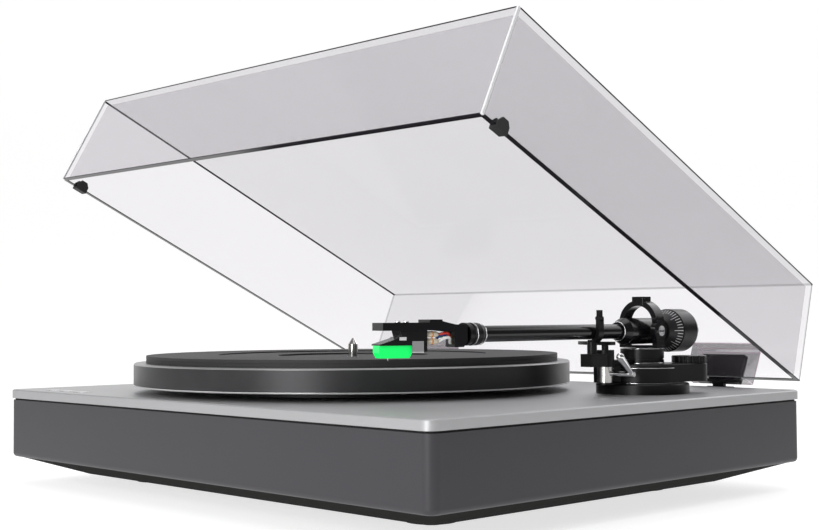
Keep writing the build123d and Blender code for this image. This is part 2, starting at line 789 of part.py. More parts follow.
# Back panel with signal sockets, earth post and power inlet
panel_face = Plane(origin=(0, casing_rear_y, panel_z), x_dir=(-1, 0, 0), z_dir=(0, 1, 0))
phono_spots = [(-(phono_x + number * phono_pitch), 0) for number in range(2)]
with BuildPart() as rear_panel:
    slab(panel_face, (-panel_x, 0), panel_width, panel_height, -panel_thickness, panel_corner_r)
    for spot in phono_spots:
        disc(panel_face, spot, phono_body_r + press_gap, -panel_thickness, Mode.SUBTRACT)
    disc(panel_face, (-post_x, 0), post_shank_r + press_gap, -panel_thickness, Mode.SUBTRACT)
    slab(panel_face, (-inlet_x, 0), inlet_size + 2 * press_gap, inlet_size + 2 * press_gap,
         -panel_thickness, 0, Mode.SUBTRACT)
save(rear_panel, "rear_panel")

with BuildPart() as phono_sockets:
    for spot in phono_spots:
        disc(panel_face, spot, phono_body_r, -phono_body_length)
        disc(panel_face, spot, phono_collar_r, phono_collar)
        disc(panel_face, spot, phono_r, phono_reach)
        disc(panel_face.offset(phono_reach), spot, phono_bore_r, -phono_reach, Mode.SUBTRACT)
save(phono_sockets, "phono_sockets")

with BuildPart() as earth_post:
    disc(panel_face, (-post_x, 0), post_shank_r, -post_shank_length)
    disc(panel_face, (-post_x, 0), post_r, post_reach)
    chamfer(earth_post.faces().sort_by(Axis.Y)[-1].edges(), post_chamfer)
save(earth_post, "earth_post")

with BuildPart() as power_inlet:
    slab(panel_face, (-inlet_x, 0), inlet_size, inlet_size, -inlet_length)
    disc(panel_face, (-inlet_x, 0), inlet_bore_r, -inlet_depth, Mode.SUBTRACT)
    disc(panel_face.offset(-inlet_depth), (-inlet_x, 0), inlet_pin_r, inlet_depth - inlet_pin_set_back)
save(power_inlet, "power_inlet")

# Tone arm base: flange on the plate, pillar and nut through it, tower, turret
with BuildPart() as arm_base_flange:
    disc(arm_plan(plate_top_z), (0, 0), foot_flange_r, foot_flange_top_z - plate_top_z)
    chamfer(arm_base_flange.faces().sort_by(Axis.Z)[-1].edges(), foot_flange_chamfer)
    disc(arm_plan(pillar_bottom_z), (0, 0), pillar_r, plate_top_z - pillar_bottom_z)
    disc(arm_plan(pillar_bottom_z), (0, 0), pillar_r - pillar_wall,
         foot_flange_top_z - pillar_bottom_z, Mode.SUBTRACT)
save(arm_base_flange, "arm_base_flange")

with BuildPart() as arm_nut:
    with BuildSketch(arm_plan(nut_bottom_z)):
        RegularPolygon(nut_r, 6)
        Circle(pillar_r + press_gap, mode=Mode.SUBTRACT)
    extrude(amount=casing_top_z - nut_bottom_z)
save(arm_nut, "arm_nut")

shaft_hole_r = yoke_shaft_r + running_gap
with BuildPart() as arm_tower:
    disc(arm_plan(foot_flange_top_z), (0, 0), tower_neck_r, tower_bottom_z - foot_flange_top_z)
    with BuildSketch(arm_plan(tower_bottom_z)) as tower_outline:
        Circle(tower_r)
        with Locations((lobe_right, lobe_back)):
            Circle(lobe_r)
        make_hull()
    extrude(tower_outline.sketch, amount=tower_top_z - tower_bottom_z)
    with BuildSketch(arm_plan(tower_bottom_z)) as step_outline:
        Circle(step_root_r)
        with Locations((-step_left, -step_front)):
            Circle(step_r)
        make_hull()
    extrude(step_outline.sketch, amount=tower_top_z - tower_bottom_z)
    chamfer(arm_tower.faces().sort_by(Axis.Z)[-1].edges(), tower_chamfer)
    disc(arm_plan(foot_flange_top_z), (0, 0), shaft_hole_r, tower_top_z - foot_flange_top_z,
         Mode.SUBTRACT)
    disc(arm_plan(tower_bottom_z), (0, -lift_front), lift_cylinder_r + press_gap,
         tower_top_z - tower_bottom_z, Mode.SUBTRACT)
    disc(arm_plan(lift_cylinder_top_z - seat_gap), (0, -lift_front), lift_column_r + seat_gap,
         tower_top_z, Mode.SUBTRACT)
    disc(arm_plan(tower_top_z), (lobe_right, lobe_back), dial_post_r,
         dial_top_z - dial_lid - seat_gap - tower_top_z)
    with BuildSketch(arm_plan(tower_bottom_z)) as ledge:
        with Locations((0, -lift_front)):
            Circle(lift_cylinder_r + ledge_margin)
        with Locations((0, 0)):
            Circle(lift_cylinder_r + ledge_margin)
        make_hull()
    extrude(ledge.sketch, amount=foot_flange_top_z - tower_bottom_z)
save(arm_tower, "arm_tower")

with BuildPart() as arm_turret:
    disc(arm_plan(tower_top_z), (0, 0), turret_r, turret_top_z - tower_top_z)
    chamfer(arm_turret.faces().sort_by(Axis.Z)[-1].edges(), tower_chamfer)
    groove_low, groove_high = (tower_top_z + height for height in turret_groove)
    turn([(turret_r - turret_groove_depth, groove_low), (turret_r + cut_margin, groove_low),
          (turret_r + cut_margin, groove_high), (turret_r - turret_groove_depth, groove_high)],
         arm_spot, Mode.SUBTRACT)
    disc(arm_plan(tower_top_z), (0, 0), shaft_hole_r, turret_top_z - tower_top_z, Mode.SUBTRACT)
save(arm_turret, "arm_turret")

def lever_line(along):
    """Upright plane across the lift lever's rod, this far right of the lift's middle."""
    place = (pivot_x + along, pivot_y - lift_front, lever_z)
    return Plane(origin=place, x_dir=(0, 1, 0), z_dir=(1, 0, 0))


# Lift: silver cylinder, housing with the bar for the rest, platform, cue lever
with BuildPart() as lift_cylinder:
    disc(arm_plan(tower_bottom_z), (0, -lift_front), lift_cylinder_r,
         lift_cylinder_top_z - tower_bottom_z)
    chamfer(lift_cylinder.edges().filter_by(GeomType.CIRCLE), lift_cylinder_chamfer)
    with BuildSketch(lever_line(0)):
        Circle(lever_rod_r + running_gap)
    extrude(amount=lift_cylinder_r + cut_margin, mode=Mode.SUBTRACT)
save(lift_cylinder, "lift_cylinder")

with BuildPart() as lift_housing:
    disc(arm_plan(lift_cylinder_top_z), (0, -lift_front), lift_column_r,
         lift_column_top_z - lift_cylinder_top_z)
    bar_length = rest_bar_end - lift_front
    slab(arm_plan(lift_cylinder_top_z), (0, -lift_front - bar_length / 2), 2 * rest_bar_half_width,
         bar_length, rest_bar_top_z - lift_cylinder_top_z)
    web_length = lift_front - turret_r - lift_web_gap
    slab(arm_plan(tower_top_z), (0, -lift_front + web_length / 2), 2 * rest_bar_half_width,
         web_length, lift_web_height)
    disc(arm_plan(lift_stem_bottom_z - seat_gap), (0, -lift_front), lift_stem_r + running_gap,
         lift_column_top_z, Mode.SUBTRACT)
    disc(arm_plan(rest_bar_top_z - rest_socket_depth), (0, -rest_front), rest_post_r + press_gap,
         rest_socket_depth + cut_margin, Mode.SUBTRACT)
save(lift_housing, "lift_housing")

platform_bottom_z = lift_top_z - lift_bar_thickness
with BuildPart() as lift_platform:
    with BuildSketch(arm_plan(platform_bottom_z)) as arc_bar:
        with BuildLine():
            outer = CenterArc((0, 0), lift_front + lift_bar_width / 2, -90 - lift_bar_inward,
                              lift_bar_inward + lift_bar_outward)
            inner = CenterArc((0, 0), lift_front - lift_bar_width / 2, -90 - lift_bar_inward,
                              lift_bar_inward + lift_bar_outward)
            Line(outer @ 0, inner @ 0)
            Line(outer @ 1, inner @ 1)
        make_face()
    extrude(arc_bar.sketch, amount=lift_bar_thickness)
    disc(arm_plan(lift_stem_bottom_z), (0, -lift_front), lift_stem_r,
         platform_bottom_z - lift_stem_bottom_z)
save(lift_platform, "lift_platform")

lever_root = (pivot_x + lever_right, pivot_y - lift_front, lever_z)
lever_length = sqrt(lever_forward ** 2 + lever_up ** 2)
lever_plane = Plane(origin=lever_root, x_dir=(1, 0, 0), z_dir=(0, -lever_forward, lever_up))
with BuildPart() as cue_lever:
    disc(lever_line(lever_inner_end), (0, 0), lever_rod_r,
         lever_right - lever_inner_end + lever_rod_r)
    with BuildSketch(lever_plane):
        Circle(lever_root_r)
    with BuildSketch(lever_plane.offset(lever_length)):
        Circle(lever_tip_r)
    loft()
    with Locations(lever_plane.offset(lever_length).origin):
        Sphere(lever_tip_r)
save(cue_lever, "cue_lever")

# Arm rest: post and open ring round the tube, with a swivel clip on its outer side
ring_plane = arm_section(rest_front - cradle_depth / 2)
clip_up = clip_z - arm_z
clip_base_half = clip_thickness / 2


def clip_post(top):
    """Outline of the post beside the ring, up to this height above the arm's line."""
    near = clip_right - clip_base_half
    far = clip_right + clip_base_half
    return [(near, clip_root_inner), (far, clip_root_outer), (far, top), (near, top)]


with BuildPart() as arm_rest:
    with BuildSketch(ring_plane) as ring_face:
        with BuildLine():
            span = cradle_open_angle - cradle_low_angle
            outside = CenterArc((0, 0), cradle_outer_r, cradle_low_angle, span)
            inside = CenterArc((0, 0), cradle_inner_r, cradle_low_angle, span)
            Line(outside @ 0, inside @ 0)
            Line(outside @ 1, inside @ 1)
        make_face()
    extrude(ring_face.sketch, amount=cradle_depth)
    for place in (ring_plane, ring_plane.offset(cradle_depth - clip_ear)):
        bar(place, clip_post(clip_up), clip_ear)
    bar(ring_plane, clip_post(clip_up - clip_web_drop), cradle_depth)
    disc(ring_plane, (clip_right, clip_up), clip_base_half, cradle_depth)
    slab(ring_plane.offset(clip_ear), (clip_right, clip_up), 2 * clip_thickness, clip_slot_height,
         cradle_depth - 2 * clip_ear, 0, Mode.SUBTRACT)
    disc(ring_plane, (clip_right, clip_up), clip_pin_r, cradle_depth)
    bar(ring_plane, [(-cradle_inner_r, 0), (cradle_inner_r, 0),
                     (cradle_inner_r, cradle_outer_r), (-cradle_inner_r, cradle_outer_r)],
        cradle_depth, Mode.SUBTRACT)
    post_top = arm_z - (cradle_inner_r + cradle_outer_r) / 2
    post_bottom = rest_bar_top_z - rest_socket_depth + press_gap
    disc(arm_plan(post_bottom), (0, -rest_front), rest_post_r, post_top - post_bottom)
save(arm_rest, "arm_rest")

with BuildPart() as arm_clip:
    blade_depth = cradle_depth - 2 * clip_ear - 2 * running_gap
    clip_plane = ring_plane.offset(clip_ear + running_gap)
    disc(clip_plane, (clip_right, clip_up), clip_base_half, blade_depth)
    bar(clip_plane, [(clip_right - clip_base_half, clip_up), (clip_right + clip_base_half, clip_up),
                     (clip_right + clip_base_half, clip_top_z - arm_z),
                     (clip_right - clip_base_half, clip_top_z - arm_z)], blade_depth)
    disc(clip_plane, (clip_right, clip_up), clip_pin_r + running_gap, blade_depth, Mode.SUBTRACT)
save(arm_clip, "arm_clip")

# Anti-skate dial behind the pivot
with BuildPart() as skate_dial:
    disc(arm_plan(dial_bottom_z), (lobe_right, lobe_back), dial_r, dial_top_z - dial_bottom_z)
    chamfer(skate_dial.faces().sort_by(Axis.Z)[-1].edges(), dial_chamfer)
    with BuildSketch(arm_plan(dial_bottom_z)) as scallops:
        with Locations((lobe_right, lobe_back)):
            with PolarLocations(dial_r + dial_scallop_out, dial_scallops):
                Circle(dial_scallop_r)
    extrude(scallops.sketch, amount=dial_top_z - dial_bottom_z, mode=Mode.SUBTRACT)
    disc(arm_plan(dial_bottom_z), (lobe_right, lobe_back), dial_post_r + running_gap,
         dial_top_z - dial_bottom_z - dial_lid, Mode.SUBTRACT)
save(skate_dial, "skate_dial")

# Yoke: arch over the arm on a vertical shaft, with its cap and two side screws
arch_rise = arch_top_z - arm_z - arch_half_width
arch_inner = arch_half_width - arch_wall
arch_floor = -housing_r - arch_floor_gap
arch_low = arch_bottom_z - arm_z
arch_front = arm_section(-arch_depth / 2)
with BuildPart() as arm_yoke:
    with BuildSketch(arch_front) as arch:
        with BuildLine():
            Line((-arch_half_width, arch_low), (arch_half_width, arch_low))
            Line((arch_half_width, arch_low), (arch_half_width, arch_rise))
            over = CenterArc((0, arch_rise), arch_half_width, 0, 180)
            Line(over @ 1, (-arch_half_width, arch_low))
        make_face()
        with BuildLine(mode=Mode.PRIVATE) as window_line:
            Line((-arch_inner, arch_floor), (arch_inner, arch_floor))
            Line((arch_inner, arch_floor), (arch_inner, arch_rise))
            under = CenterArc((0, arch_rise), arch_inner, 0, 180)
            Line(under @ 1, (-arch_inner, arch_floor))
        make_face(window_line.edges(), mode=Mode.SUBTRACT)
    extrude(arch.sketch, amount=arch_depth)
    slab(arm_plan(cap_bottom_z), (0, 0), cap_width, cap_width, cap_top_z - cap_bottom_z, cap_corner_r)
    for side in (-1, 1):
        cheek = Plane(origin=(pivot_x + side * (arch_half_width - arch_wall), pivot_y, arm_z),
                      x_dir=(0, 1, 0), z_dir=(side, 0, 0))
        disc(cheek, (0, 0), side_boss_r, arch_wall)
        disc(cheek, (0, 0), side_screw_tip_r + press_gap, arch_wall, Mode.SUBTRACT)
    disc(arm_plan(yoke_shaft_bottom_z), (0, 0), yoke_shaft_r, arch_bottom_z - yoke_shaft_bottom_z)
save(arm_yoke, "arm_yoke")

with BuildPart() as pivot_screws:
    for side in (-1, 1):
        face = Plane(origin=(pivot_x + side * arch_half_width, pivot_y, arm_z),
                     x_dir=(0, 1, 0), z_dir=(side, 0, 0))
        disc(face, (0, 0), side_screw_r, side_screw_head)
        disc(face, (0, 0), side_screw_tip_r, -(arch_half_width - housing_r + side_screw_tip_depth))
save(pivot_screws, "pivot_screws")

# Tone arm proper
with BuildPart() as arm_tube:
    turn_on_arm([(housing_front, tube_r), (tube_end, tube_r), (tube_end, tube_r - tube_wall),
                 (tube_start, tube_r - tube_wall), (tube_start, tube_r)])
save(arm_tube, "arm_tube")

tube_seat = tube_r + press_gap
with BuildPart() as arm_housing:
    turn_on_arm([(housing_nose, tube_seat), (housing_nose, housing_nose_r), (housing_front, housing_r),
                 (housing_back + housing_bevel, housing_r), (housing_back, housing_r - housing_bevel),
                 (housing_back, 0),
                 (tube_start - press_gap, 0), (tube_start - press_gap, tube_seat)])
    for side in (-1, 1):
        face = Plane(origin=(pivot_x + side * housing_r, pivot_y, arm_z),
                     x_dir=(0, 1, 0), z_dir=(-side, 0, 0))
        disc(face.offset(-cut_margin), (0, 0), side_screw_tip_r + running_gap,
             side_screw_tip_depth + running_gap + cut_margin, Mode.SUBTRACT)
save(arm_housing, "arm_housing")

with BuildPart() as rear_shaft:
    turn_on_arm([(housing_back, 0), (housing_back, rear_shaft_r),
                 (rear_shaft_end + rear_shaft_tip, rear_shaft_r),
                 (rear_shaft_end + rear_shaft_tip, rear_shaft_tip_r),
                 (rear_shaft_end, rear_shaft_tip_r), (rear_shaft_end, 0)])
save(rear_shaft, "rear_shaft")

with BuildPart() as weight_bush:
    turn_on_arm([(bush_front, rear_shaft_r + running_gap), (bush_front, bush_r),
                 (weight_back + bush_inset, bush_r),
                 (weight_back + bush_inset, rear_shaft_r + running_gap)])
save(weight_bush, "weight_bush")

weight_bore_r = bush_r + running_gap
with BuildPart() as counterweight:
    turn_on_arm([(weight_front, weight_bore_r), (weight_front, weight_r),
                 (weight_back + weight_edge_r, weight_r),
                 (weight_back + weight_edge_r * weight_edge_part,
                  weight_r - weight_edge_r * weight_edge_part),
                 (weight_back, weight_r - weight_edge_r), (weight_back, weight_bore_r)])
save(counterweight, "counterweight")

with BuildPart() as scale_ring:
    turn_on_arm([(scale_front, weight_bore_r), (scale_front, scale_front_r),
                 (scale_back, scale_back_r), (scale_back, weight_bore_r)])
save(scale_ring, "scale_ring")

# Locking collar: a stepped ramp at its back, a groove round its front
with BuildPart() as locking_collar:
    ramp = [(collar_start + along, collar_r - drop) for along, drop in collar_ramp]
    groove = [(collar_end - along, collar_r - drop) for along, drop in collar_groove]
    turn_on_arm([(collar_start, tube_r + running_gap), *ramp, *groove,
                 (collar_end, collar_r), (collar_end, tube_r + running_gap)])
save(locking_collar, "locking_collar")

# Headshell: pod and neck at the collar, sloping bridge, raised bump, flat plate
with BuildPart() as headshell:
    bar(shell_side, [(0, shell_pod_bottom_z + shell_pod_nose_rise),
                     (shell_pod_nose, shell_pod_bottom_z),
                     (shell_pod_length, shell_pod_bottom_z),
                     (shell_pod_length, shell_pod_top_z - shell_throat),
                     (cartridge_back - shell_throat_run, shell_plate_bottom_z),
                     (shell_length, shell_plate_bottom_z), (shell_length, shell_plate_top_z),
                     (shell_plate_start, shell_plate_top_z), (shell_plate_start, shell_bump_top_z),
                     (shell_plate_start - shell_bump_length, shell_bump_top_z),
                     (shell_plate_start - shell_bump_length, shell_plate_top_z + shell_bump_step),
                     (shell_pod_length, shell_pod_top_z), (0, shell_pod_top_z - shell_pod_drop)],
        shell_half_width, both=True)
    neck_half = tube_r + shell_waist_margin
    waist_end = cartridge_back - shell_waist_end
    beyond = shell_half_width + shell_waist_cut
    waist_height = shell_bump_top_z - shell_pod_bottom_z + 2 * cut_margin
    for side in (-1, 1):
        bar(shell_plan(shell_bump_top_z + cut_margin),
            [(-cut_margin, side * neck_half), (shell_pod_length, side * neck_half),
             (waist_end, side * (shell_half_width + 0.1)), (waist_end, side * beyond),
             (-cut_margin, side * beyond)], waist_height, Mode.SUBTRACT)
    slab(arm_section(collar_end + running_gap), (0, 0), 4 * shell_half_width, 4 * shell_half_width,
         -2 * shell_half_width, 0, Mode.SUBTRACT)
    disc(arm_section(tube_end - shell_shank), (0, 0), tube_r - tube_wall - press_gap,
         shell_shank + shell_tongue)
    for along in shell_slot_places:
        with BuildSketch(shell_plan(shell_plate_top_z)) as slots:
            for side in (-1, 1):
                with Locations((along, side * shell_slot_across)):
                    SlotOverall(shell_slot_length, shell_slot_width)
        extrude(slots.sketch, amount=shell_plate_top_z - shell_plate_bottom_z, mode=Mode.SUBTRACT)
save(headshell, "headshell")

cartridge_front = cartridge_back + cartridge_length
step_along = cartridge_front - cartridge_front_step
keel_z = cartridge_bottom_z - cartridge_keel
with BuildPart() as cartridge:
    bar(shell_side, [(cartridge_back, cartridge_bottom_z - cartridge_keel_back),
                     (cartridge_back, shell_plate_bottom_z), (step_along, shell_plate_bottom_z),
                     (step_along - cartridge_step_lean, shell_plate_bottom_z - cartridge_step_drop),
                     (cartridge_front, cartridge_bottom_z + cartridge_nose_height),
                     (cartridge_front, cartridge_bottom_z),
                     (stylus_guard_back, cartridge_bottom_z), (stylus_guard_back, keel_z)],
        cartridge_half_width, both=True)
    for row in (-1, 1):
        for level in (0, 1):
            place = Vector(cartridge_back, cartridge_bottom_z + terminal_low + level * terminal_rise,
                           row * terminal_across)
            pin_plane = Plane(origin=shell_side.from_local_coords(place),
                              x_dir=(0, 0, 1), z_dir=-shell_side.x_dir)
            disc(pin_plane, (0, 0), terminal_r, terminal_length)
save(cartridge, "cartridge")

with BuildPart() as stylus_holder:
    bar(shell_side, [(stylus_guard_back, cartridge_bottom_z), (stylus_guard_back, keel_z),
                     (stylus_guard_back + stylus_guard_slope, stylus_guard_bottom_z),
                     (stylus_guard_front - stylus_guard_slope, stylus_guard_bottom_z),
                     (stylus_guard_front, cartridge_bottom_z - stylus_guard_nose),
                     (stylus_guard_front, cartridge_bottom_z)],
        stylus_guard_half_width, both=True)
    slot_back = stylus_place - cantilever_length
    slot_front = stylus_place + stylus_slot_front
    slot_top_z = stylus_guard_bottom_z + stylus_slot
    bar(shell_side, [(slot_back, stylus_guard_bottom_z - cut_margin), (slot_back, slot_top_z),
                     (slot_front, slot_top_z), (slot_front, stylus_guard_bottom_z - cut_margin)],
        stylus_slot, Mode.SUBTRACT, both=True)
save(stylus_holder, "stylus_holder")

tip_top_z = stylus_guard_bottom_z + cantilever_above
rod_start = shell_side.from_local_coords(Vector(stylus_place - cantilever_length, tip_top_z, 0))
rod_plane = Plane(origin=rod_start, x_dir=(0, 0, 1), z_dir=shell_side.x_dir)
tip_place = shell_side.from_local_coords(Vector(stylus_place, 0, 0))
with BuildPart() as stylus:
    disc(rod_plane, (0, 0), cantilever_r, cantilever_length + cantilever_tip)
    for height, radius in ((stylus_tip_z, stylus_point_r), (tip_top_z, stylus_root_r)):
        with BuildSketch(Plane(origin=(tip_place.X, tip_place.Y, height), x_dir=(1, 0, 0),
                               z_dir=(0, 0, 1))):
            Circle(radius)
    loft()
save(stylus, "stylus")

# Lid: one clear tray, walls leaning in, open below
lid_middle = -lid_depth / 2
top_width = lid_width - 2 * lid_side_taper
top_depth = lid_depth - lid_front_taper - lid_rear_taper
top_middle = -lid_rear_taper - top_depth / 2
with BuildPart() as lid:
    with BuildSketch(lid_level(0)):
        with Locations((0, lid_middle)):
            Rectangle(lid_width, lid_depth)
    with BuildSketch(lid_level(lid_height)):
        with Locations((0, top_middle)):
            Rectangle(top_width, top_depth)
    loft()
    rim = lid.faces().sort_by(Axis(lid_level(0).origin, lid_level(0).z_dir))[0]
    offset(amount=-lid_wall, openings=rim)
save(lid, "lid")

# Hinges: clear sockets outside the rear wall, black blades, bases, pins
socket_lean = lid_rear_taper * socket_height / lid_height
socket_back = -pin_forward
pocket_back = socket_wall - socket_back
pocket_front = pocket_back + blade_thickness + 2 * pocket_side
with BuildPart() as lid_sockets:
    for side in (-1, 1):
        edge = lid_side(side * hinge_x + socket_width / 2)
        bar(edge, [(0, 0), (-socket_back, 0), (-socket_back, socket_height - socket_bevel),
                   (-socket_back + socket_bevel, socket_height), (socket_lean, socket_height)],
            socket_width)
        pocket = lid_side(side * hinge_x + blade_width / 2 + pocket_side)
        bar(pocket, [(pocket_back, -cut_margin), (pocket_back, blade_height + seat_gap),
                     (pocket_front, blade_height + seat_gap), (pocket_front, -cut_margin)],
            blade_width + 2 * pocket_side, Mode.SUBTRACT)
save(lid_sockets, "lid_sockets")

blade_back = pocket_back + pocket_side
blade_front = blade_back + blade_thickness
ears_width = hinge_barrel_width + 2 * hinge_side_gap + 2 * hinge_ear_width


def pin_line(across):
    """Plane across the hinge line at this x, facing right."""
    return Plane(origin=(across, hinge_y, hinge_z), x_dir=(0, 1, 0), z_dir=(1, 0, 0))


with BuildPart() as hinge_blades:
    for side in (-1, 1):
        bar(lid_side(side * hinge_x + blade_width / 2),
            [(blade_back, blade_bottom), (blade_front, blade_bottom), (blade_front, blade_height),
             (blade_back, blade_height)], blade_width)
        knuckle = lid_side(side * hinge_x + hinge_barrel_width / 2)
        bar(knuckle, [(blade_back, blade_bottom), (blade_front, blade_bottom),
                      (pin_forward + knuckle_front, pin_up + knuckle_top),
                      (pin_forward, pin_up)], hinge_barrel_width)
        disc(knuckle, (pin_forward, pin_up), hinge_barrel_r, hinge_barrel_width)
        disc(knuckle, (pin_forward, pin_up), hinge_pin_r + running_gap, hinge_barrel_width,
             Mode.SUBTRACT)
save(hinge_blades, "hinge_blades")

for name, side in (("left_hinge_base", -1), ("right_hinge_base", 1)):
    with BuildPart() as hinge_base:
        for ear in (-1, 1):
            start = side * hinge_x + ear * (hinge_barrel_width / 2 + hinge_side_gap)
            ear_plane = Plane(origin=(start, 0, 0), x_dir=(0, ear, 0), z_dir=(ear, 0, 0))
            with BuildSketch(ear_plane) as ear_face:
                with Locations((ear * hinge_y, hinge_z)):
                    Circle(hinge_barrel_r)
                with BuildLine():
                    Polyline((ear * casing_rear_y, hinge_z - hinge_ear_above),
                             (ear * hinge_y, hinge_z - hinge_ear_above),
                             (ear * (hinge_y + hinge_barrel_r), hinge_z),
                             (ear * (hinge_y + hinge_barrel_r), hinge_z - hinge_ear_drop),
                             (ear * casing_rear_y, hinge_base_bottom_z + hinge_ear_foot), close=True)
                make_face()
            extrude(ear_face.sketch, amount=hinge_ear_width)
        base_top_z = hinge_z - hinge_base_below_pin
        slab(Plane(origin=(side * hinge_x, casing_rear_y, 0), x_dir=(-1, 0, 0), z_dir=(0, 1, 0)),
             (0, (hinge_base_bottom_z + base_top_z) / 2), ears_width,
             base_top_z - hinge_base_bottom_z, hinge_base_thickness)
        disc(pin_line(side * hinge_x - ears_width / 2 - cut_margin), (0, 0), hinge_pin_r + press_gap,
             ears_width + 2 * cut_margin, Mode.SUBTRACT)
    save(hinge_base, name)

with BuildPart() as hinge_pins:
    for side in (-1, 1):
        disc(pin_line(side * hinge_x - ears_width / 2), (0, 0), hinge_pin_r, ears_width)
save(hinge_pins, "hinge_pins")

# Two small bumpers clipped over the side rims near the front
bumper_drop = lid_lift - bumper_clearance
with BuildPart() as lid_bumpers:
    for side in (-1, 1):
        across = side * (lid_width / 2 - lid_wall / 2)
        reach = lid_wall / 2 + bumper_wall
        back_end = bumper_distance - bumper_length / 2
        front_end = bumper_distance + bumper_length / 2
        bar(lid_side(across + reach),
            [(back_end, -bumper_drop), (front_end, -bumper_drop),
             (front_end, bumper_height - bumper_shoulder),
             (bumper_distance + bumper_length / 4, bumper_height),
             (bumper_distance - bumper_length / 4, bumper_height),
             (back_end, bumper_height - bumper_shoulder)], 2 * reach)
        cut_half = lid_wall / 2 + pocket_side
        bar(lid_side(across + cut_half - side * pocket_side),
            [(bumper_distance - bumper_length, 0), (bumper_distance + bumper_length, 0),
             (bumper_distance + bumper_length, bumper_height + cut_margin),
             (bumper_distance - bumper_length, bumper_height + cut_margin)],
            2 * cut_half, Mode.SUBTRACT)
save(lid_bumpers, "lid_bumpers")


# The shared frame stands under the middle of the whole object, so the lid's overhang
# at the back moves every piece forward by the same amount
boxes = [piece.bounding_box() for piece in pieces]
middle_y = round((min(box.min.Y for box in boxes) + max(box.max.Y for box in boxes)) / 2, 3)
for piece in pieces:
    placed = piece.moved(Location((0, -middle_y, 0)))
    placed.label = piece.label
    export_step(placed, "parts/" + piece.label + ".step")
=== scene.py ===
import json
from math import cos, pi, radians, sin

import bpy
import numpy as np
from mathutils import Matrix, Vector


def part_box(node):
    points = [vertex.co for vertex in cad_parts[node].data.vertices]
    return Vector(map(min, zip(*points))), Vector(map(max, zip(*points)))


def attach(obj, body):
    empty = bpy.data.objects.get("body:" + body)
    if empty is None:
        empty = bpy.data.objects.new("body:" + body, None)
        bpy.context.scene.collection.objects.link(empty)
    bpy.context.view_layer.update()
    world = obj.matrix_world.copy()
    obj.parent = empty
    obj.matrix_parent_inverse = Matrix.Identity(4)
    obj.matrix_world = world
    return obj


bl_info = {
    "name": "Record player looks",
    "version": (1, 0, 0),
    "blender": (4, 5, 0),
    "location": "View3D > Sidebar > Player",
    "description": "Finishes, markings, leads, screws and studio for a record player",
    "category": "Object",
}

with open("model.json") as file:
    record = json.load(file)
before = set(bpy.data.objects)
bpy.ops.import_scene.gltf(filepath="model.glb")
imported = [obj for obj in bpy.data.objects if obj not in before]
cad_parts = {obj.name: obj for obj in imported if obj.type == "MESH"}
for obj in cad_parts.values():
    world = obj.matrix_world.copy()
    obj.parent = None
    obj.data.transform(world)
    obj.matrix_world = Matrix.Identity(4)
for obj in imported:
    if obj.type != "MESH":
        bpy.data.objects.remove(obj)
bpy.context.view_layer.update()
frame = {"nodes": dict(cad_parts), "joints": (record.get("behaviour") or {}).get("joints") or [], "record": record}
MM = 0.001


def low(node):
    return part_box(node)[0]


def high(node):
    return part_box(node)[1]


def middle(node):
    return (low(node) + high(node)) / 2


# Places on the product, worked out from the frame

JOINTS = {joint["name"]: joint for joint in frame["joints"]}
PIVOT = Vector(JOINTS["arm_tilt"]["pos_m"])
SPINDLE = Vector(JOINTS["platter_spin"]["pos_m"])
LID_OPEN = -radians(JOINTS["lid_hinge"]["range_deg"][0])
UP = Vector((0.0, 0.0, 1.0))
BACK = Vector((0.0, 1.0, 0.0))
HOME = Vector((middle("top_plate").x, middle("top_plate").y, 0.0))

# The headshell is turned in towards the spindle
SHELL_TURN = radians(22.0)
SHELL_FORWARD = Vector((-sin(SHELL_TURN), -cos(SHELL_TURN), 0.0))
SHELL_INWARD = Vector((-cos(SHELL_TURN), sin(SHELL_TURN), 0.0))
SHELL_ROOT = Vector((PIVOT.x, low("locking_collar").y, 0.0))
SHELL_AXES = [list(SHELL_FORWARD), list(SHELL_INWARD), list(UP)]

# The lid in its own plane: from the rearmost line of its rim, forward and up
RIM_LINE = HOME + Vector((0.0, 177.9, 71.7)) * MM
LID_BACK = Vector((0.0, cos(LID_OPEN), -sin(LID_OPEN)))
LID_UP = Vector((0.0, sin(LID_OPEN), cos(LID_OPEN)))
LID_HALF_WIDTH = (high("lid").x - low("lid").x) / 2
LID_DEPTH = 348 * MM
LID_HEIGHT = 70.8 * MM
LID_SIDE_SLOPE = 3.5 / 70.8
LID_FRONT_SLOPE = 3.3 / 70.8
LID_REAR_SLOPE = 5.7 / 70.8

# How far to the right of straight on the photograph was taken
PHOTO_TURN = radians(46.07)


def on_arm(right, forward, height):
    """Place by the tone arm, in mm: right and forward of its pivot, above the soles."""
    return Vector((PIVOT.x + right * MM, PIVOT.y - forward * MM, height * MM))


def on_shell(forward, inward, height):
    """Place by the headshell, in mm: forward from its back, inward, above the soles."""
    return (SHELL_ROOT + SHELL_FORWARD * (forward * MM) + SHELL_INWARD * (inward * MM)
            + UP * (height * MM))


def on_lid(right, forward, above):
    """Place on the lid, in mm: right of its middle, forward from its rear rim, above it."""
    return (RIM_LINE + Vector((right * MM, 0, 0)) - LID_BACK * (forward * MM)
            + LID_UP * (above * MM))


# Values on sockets

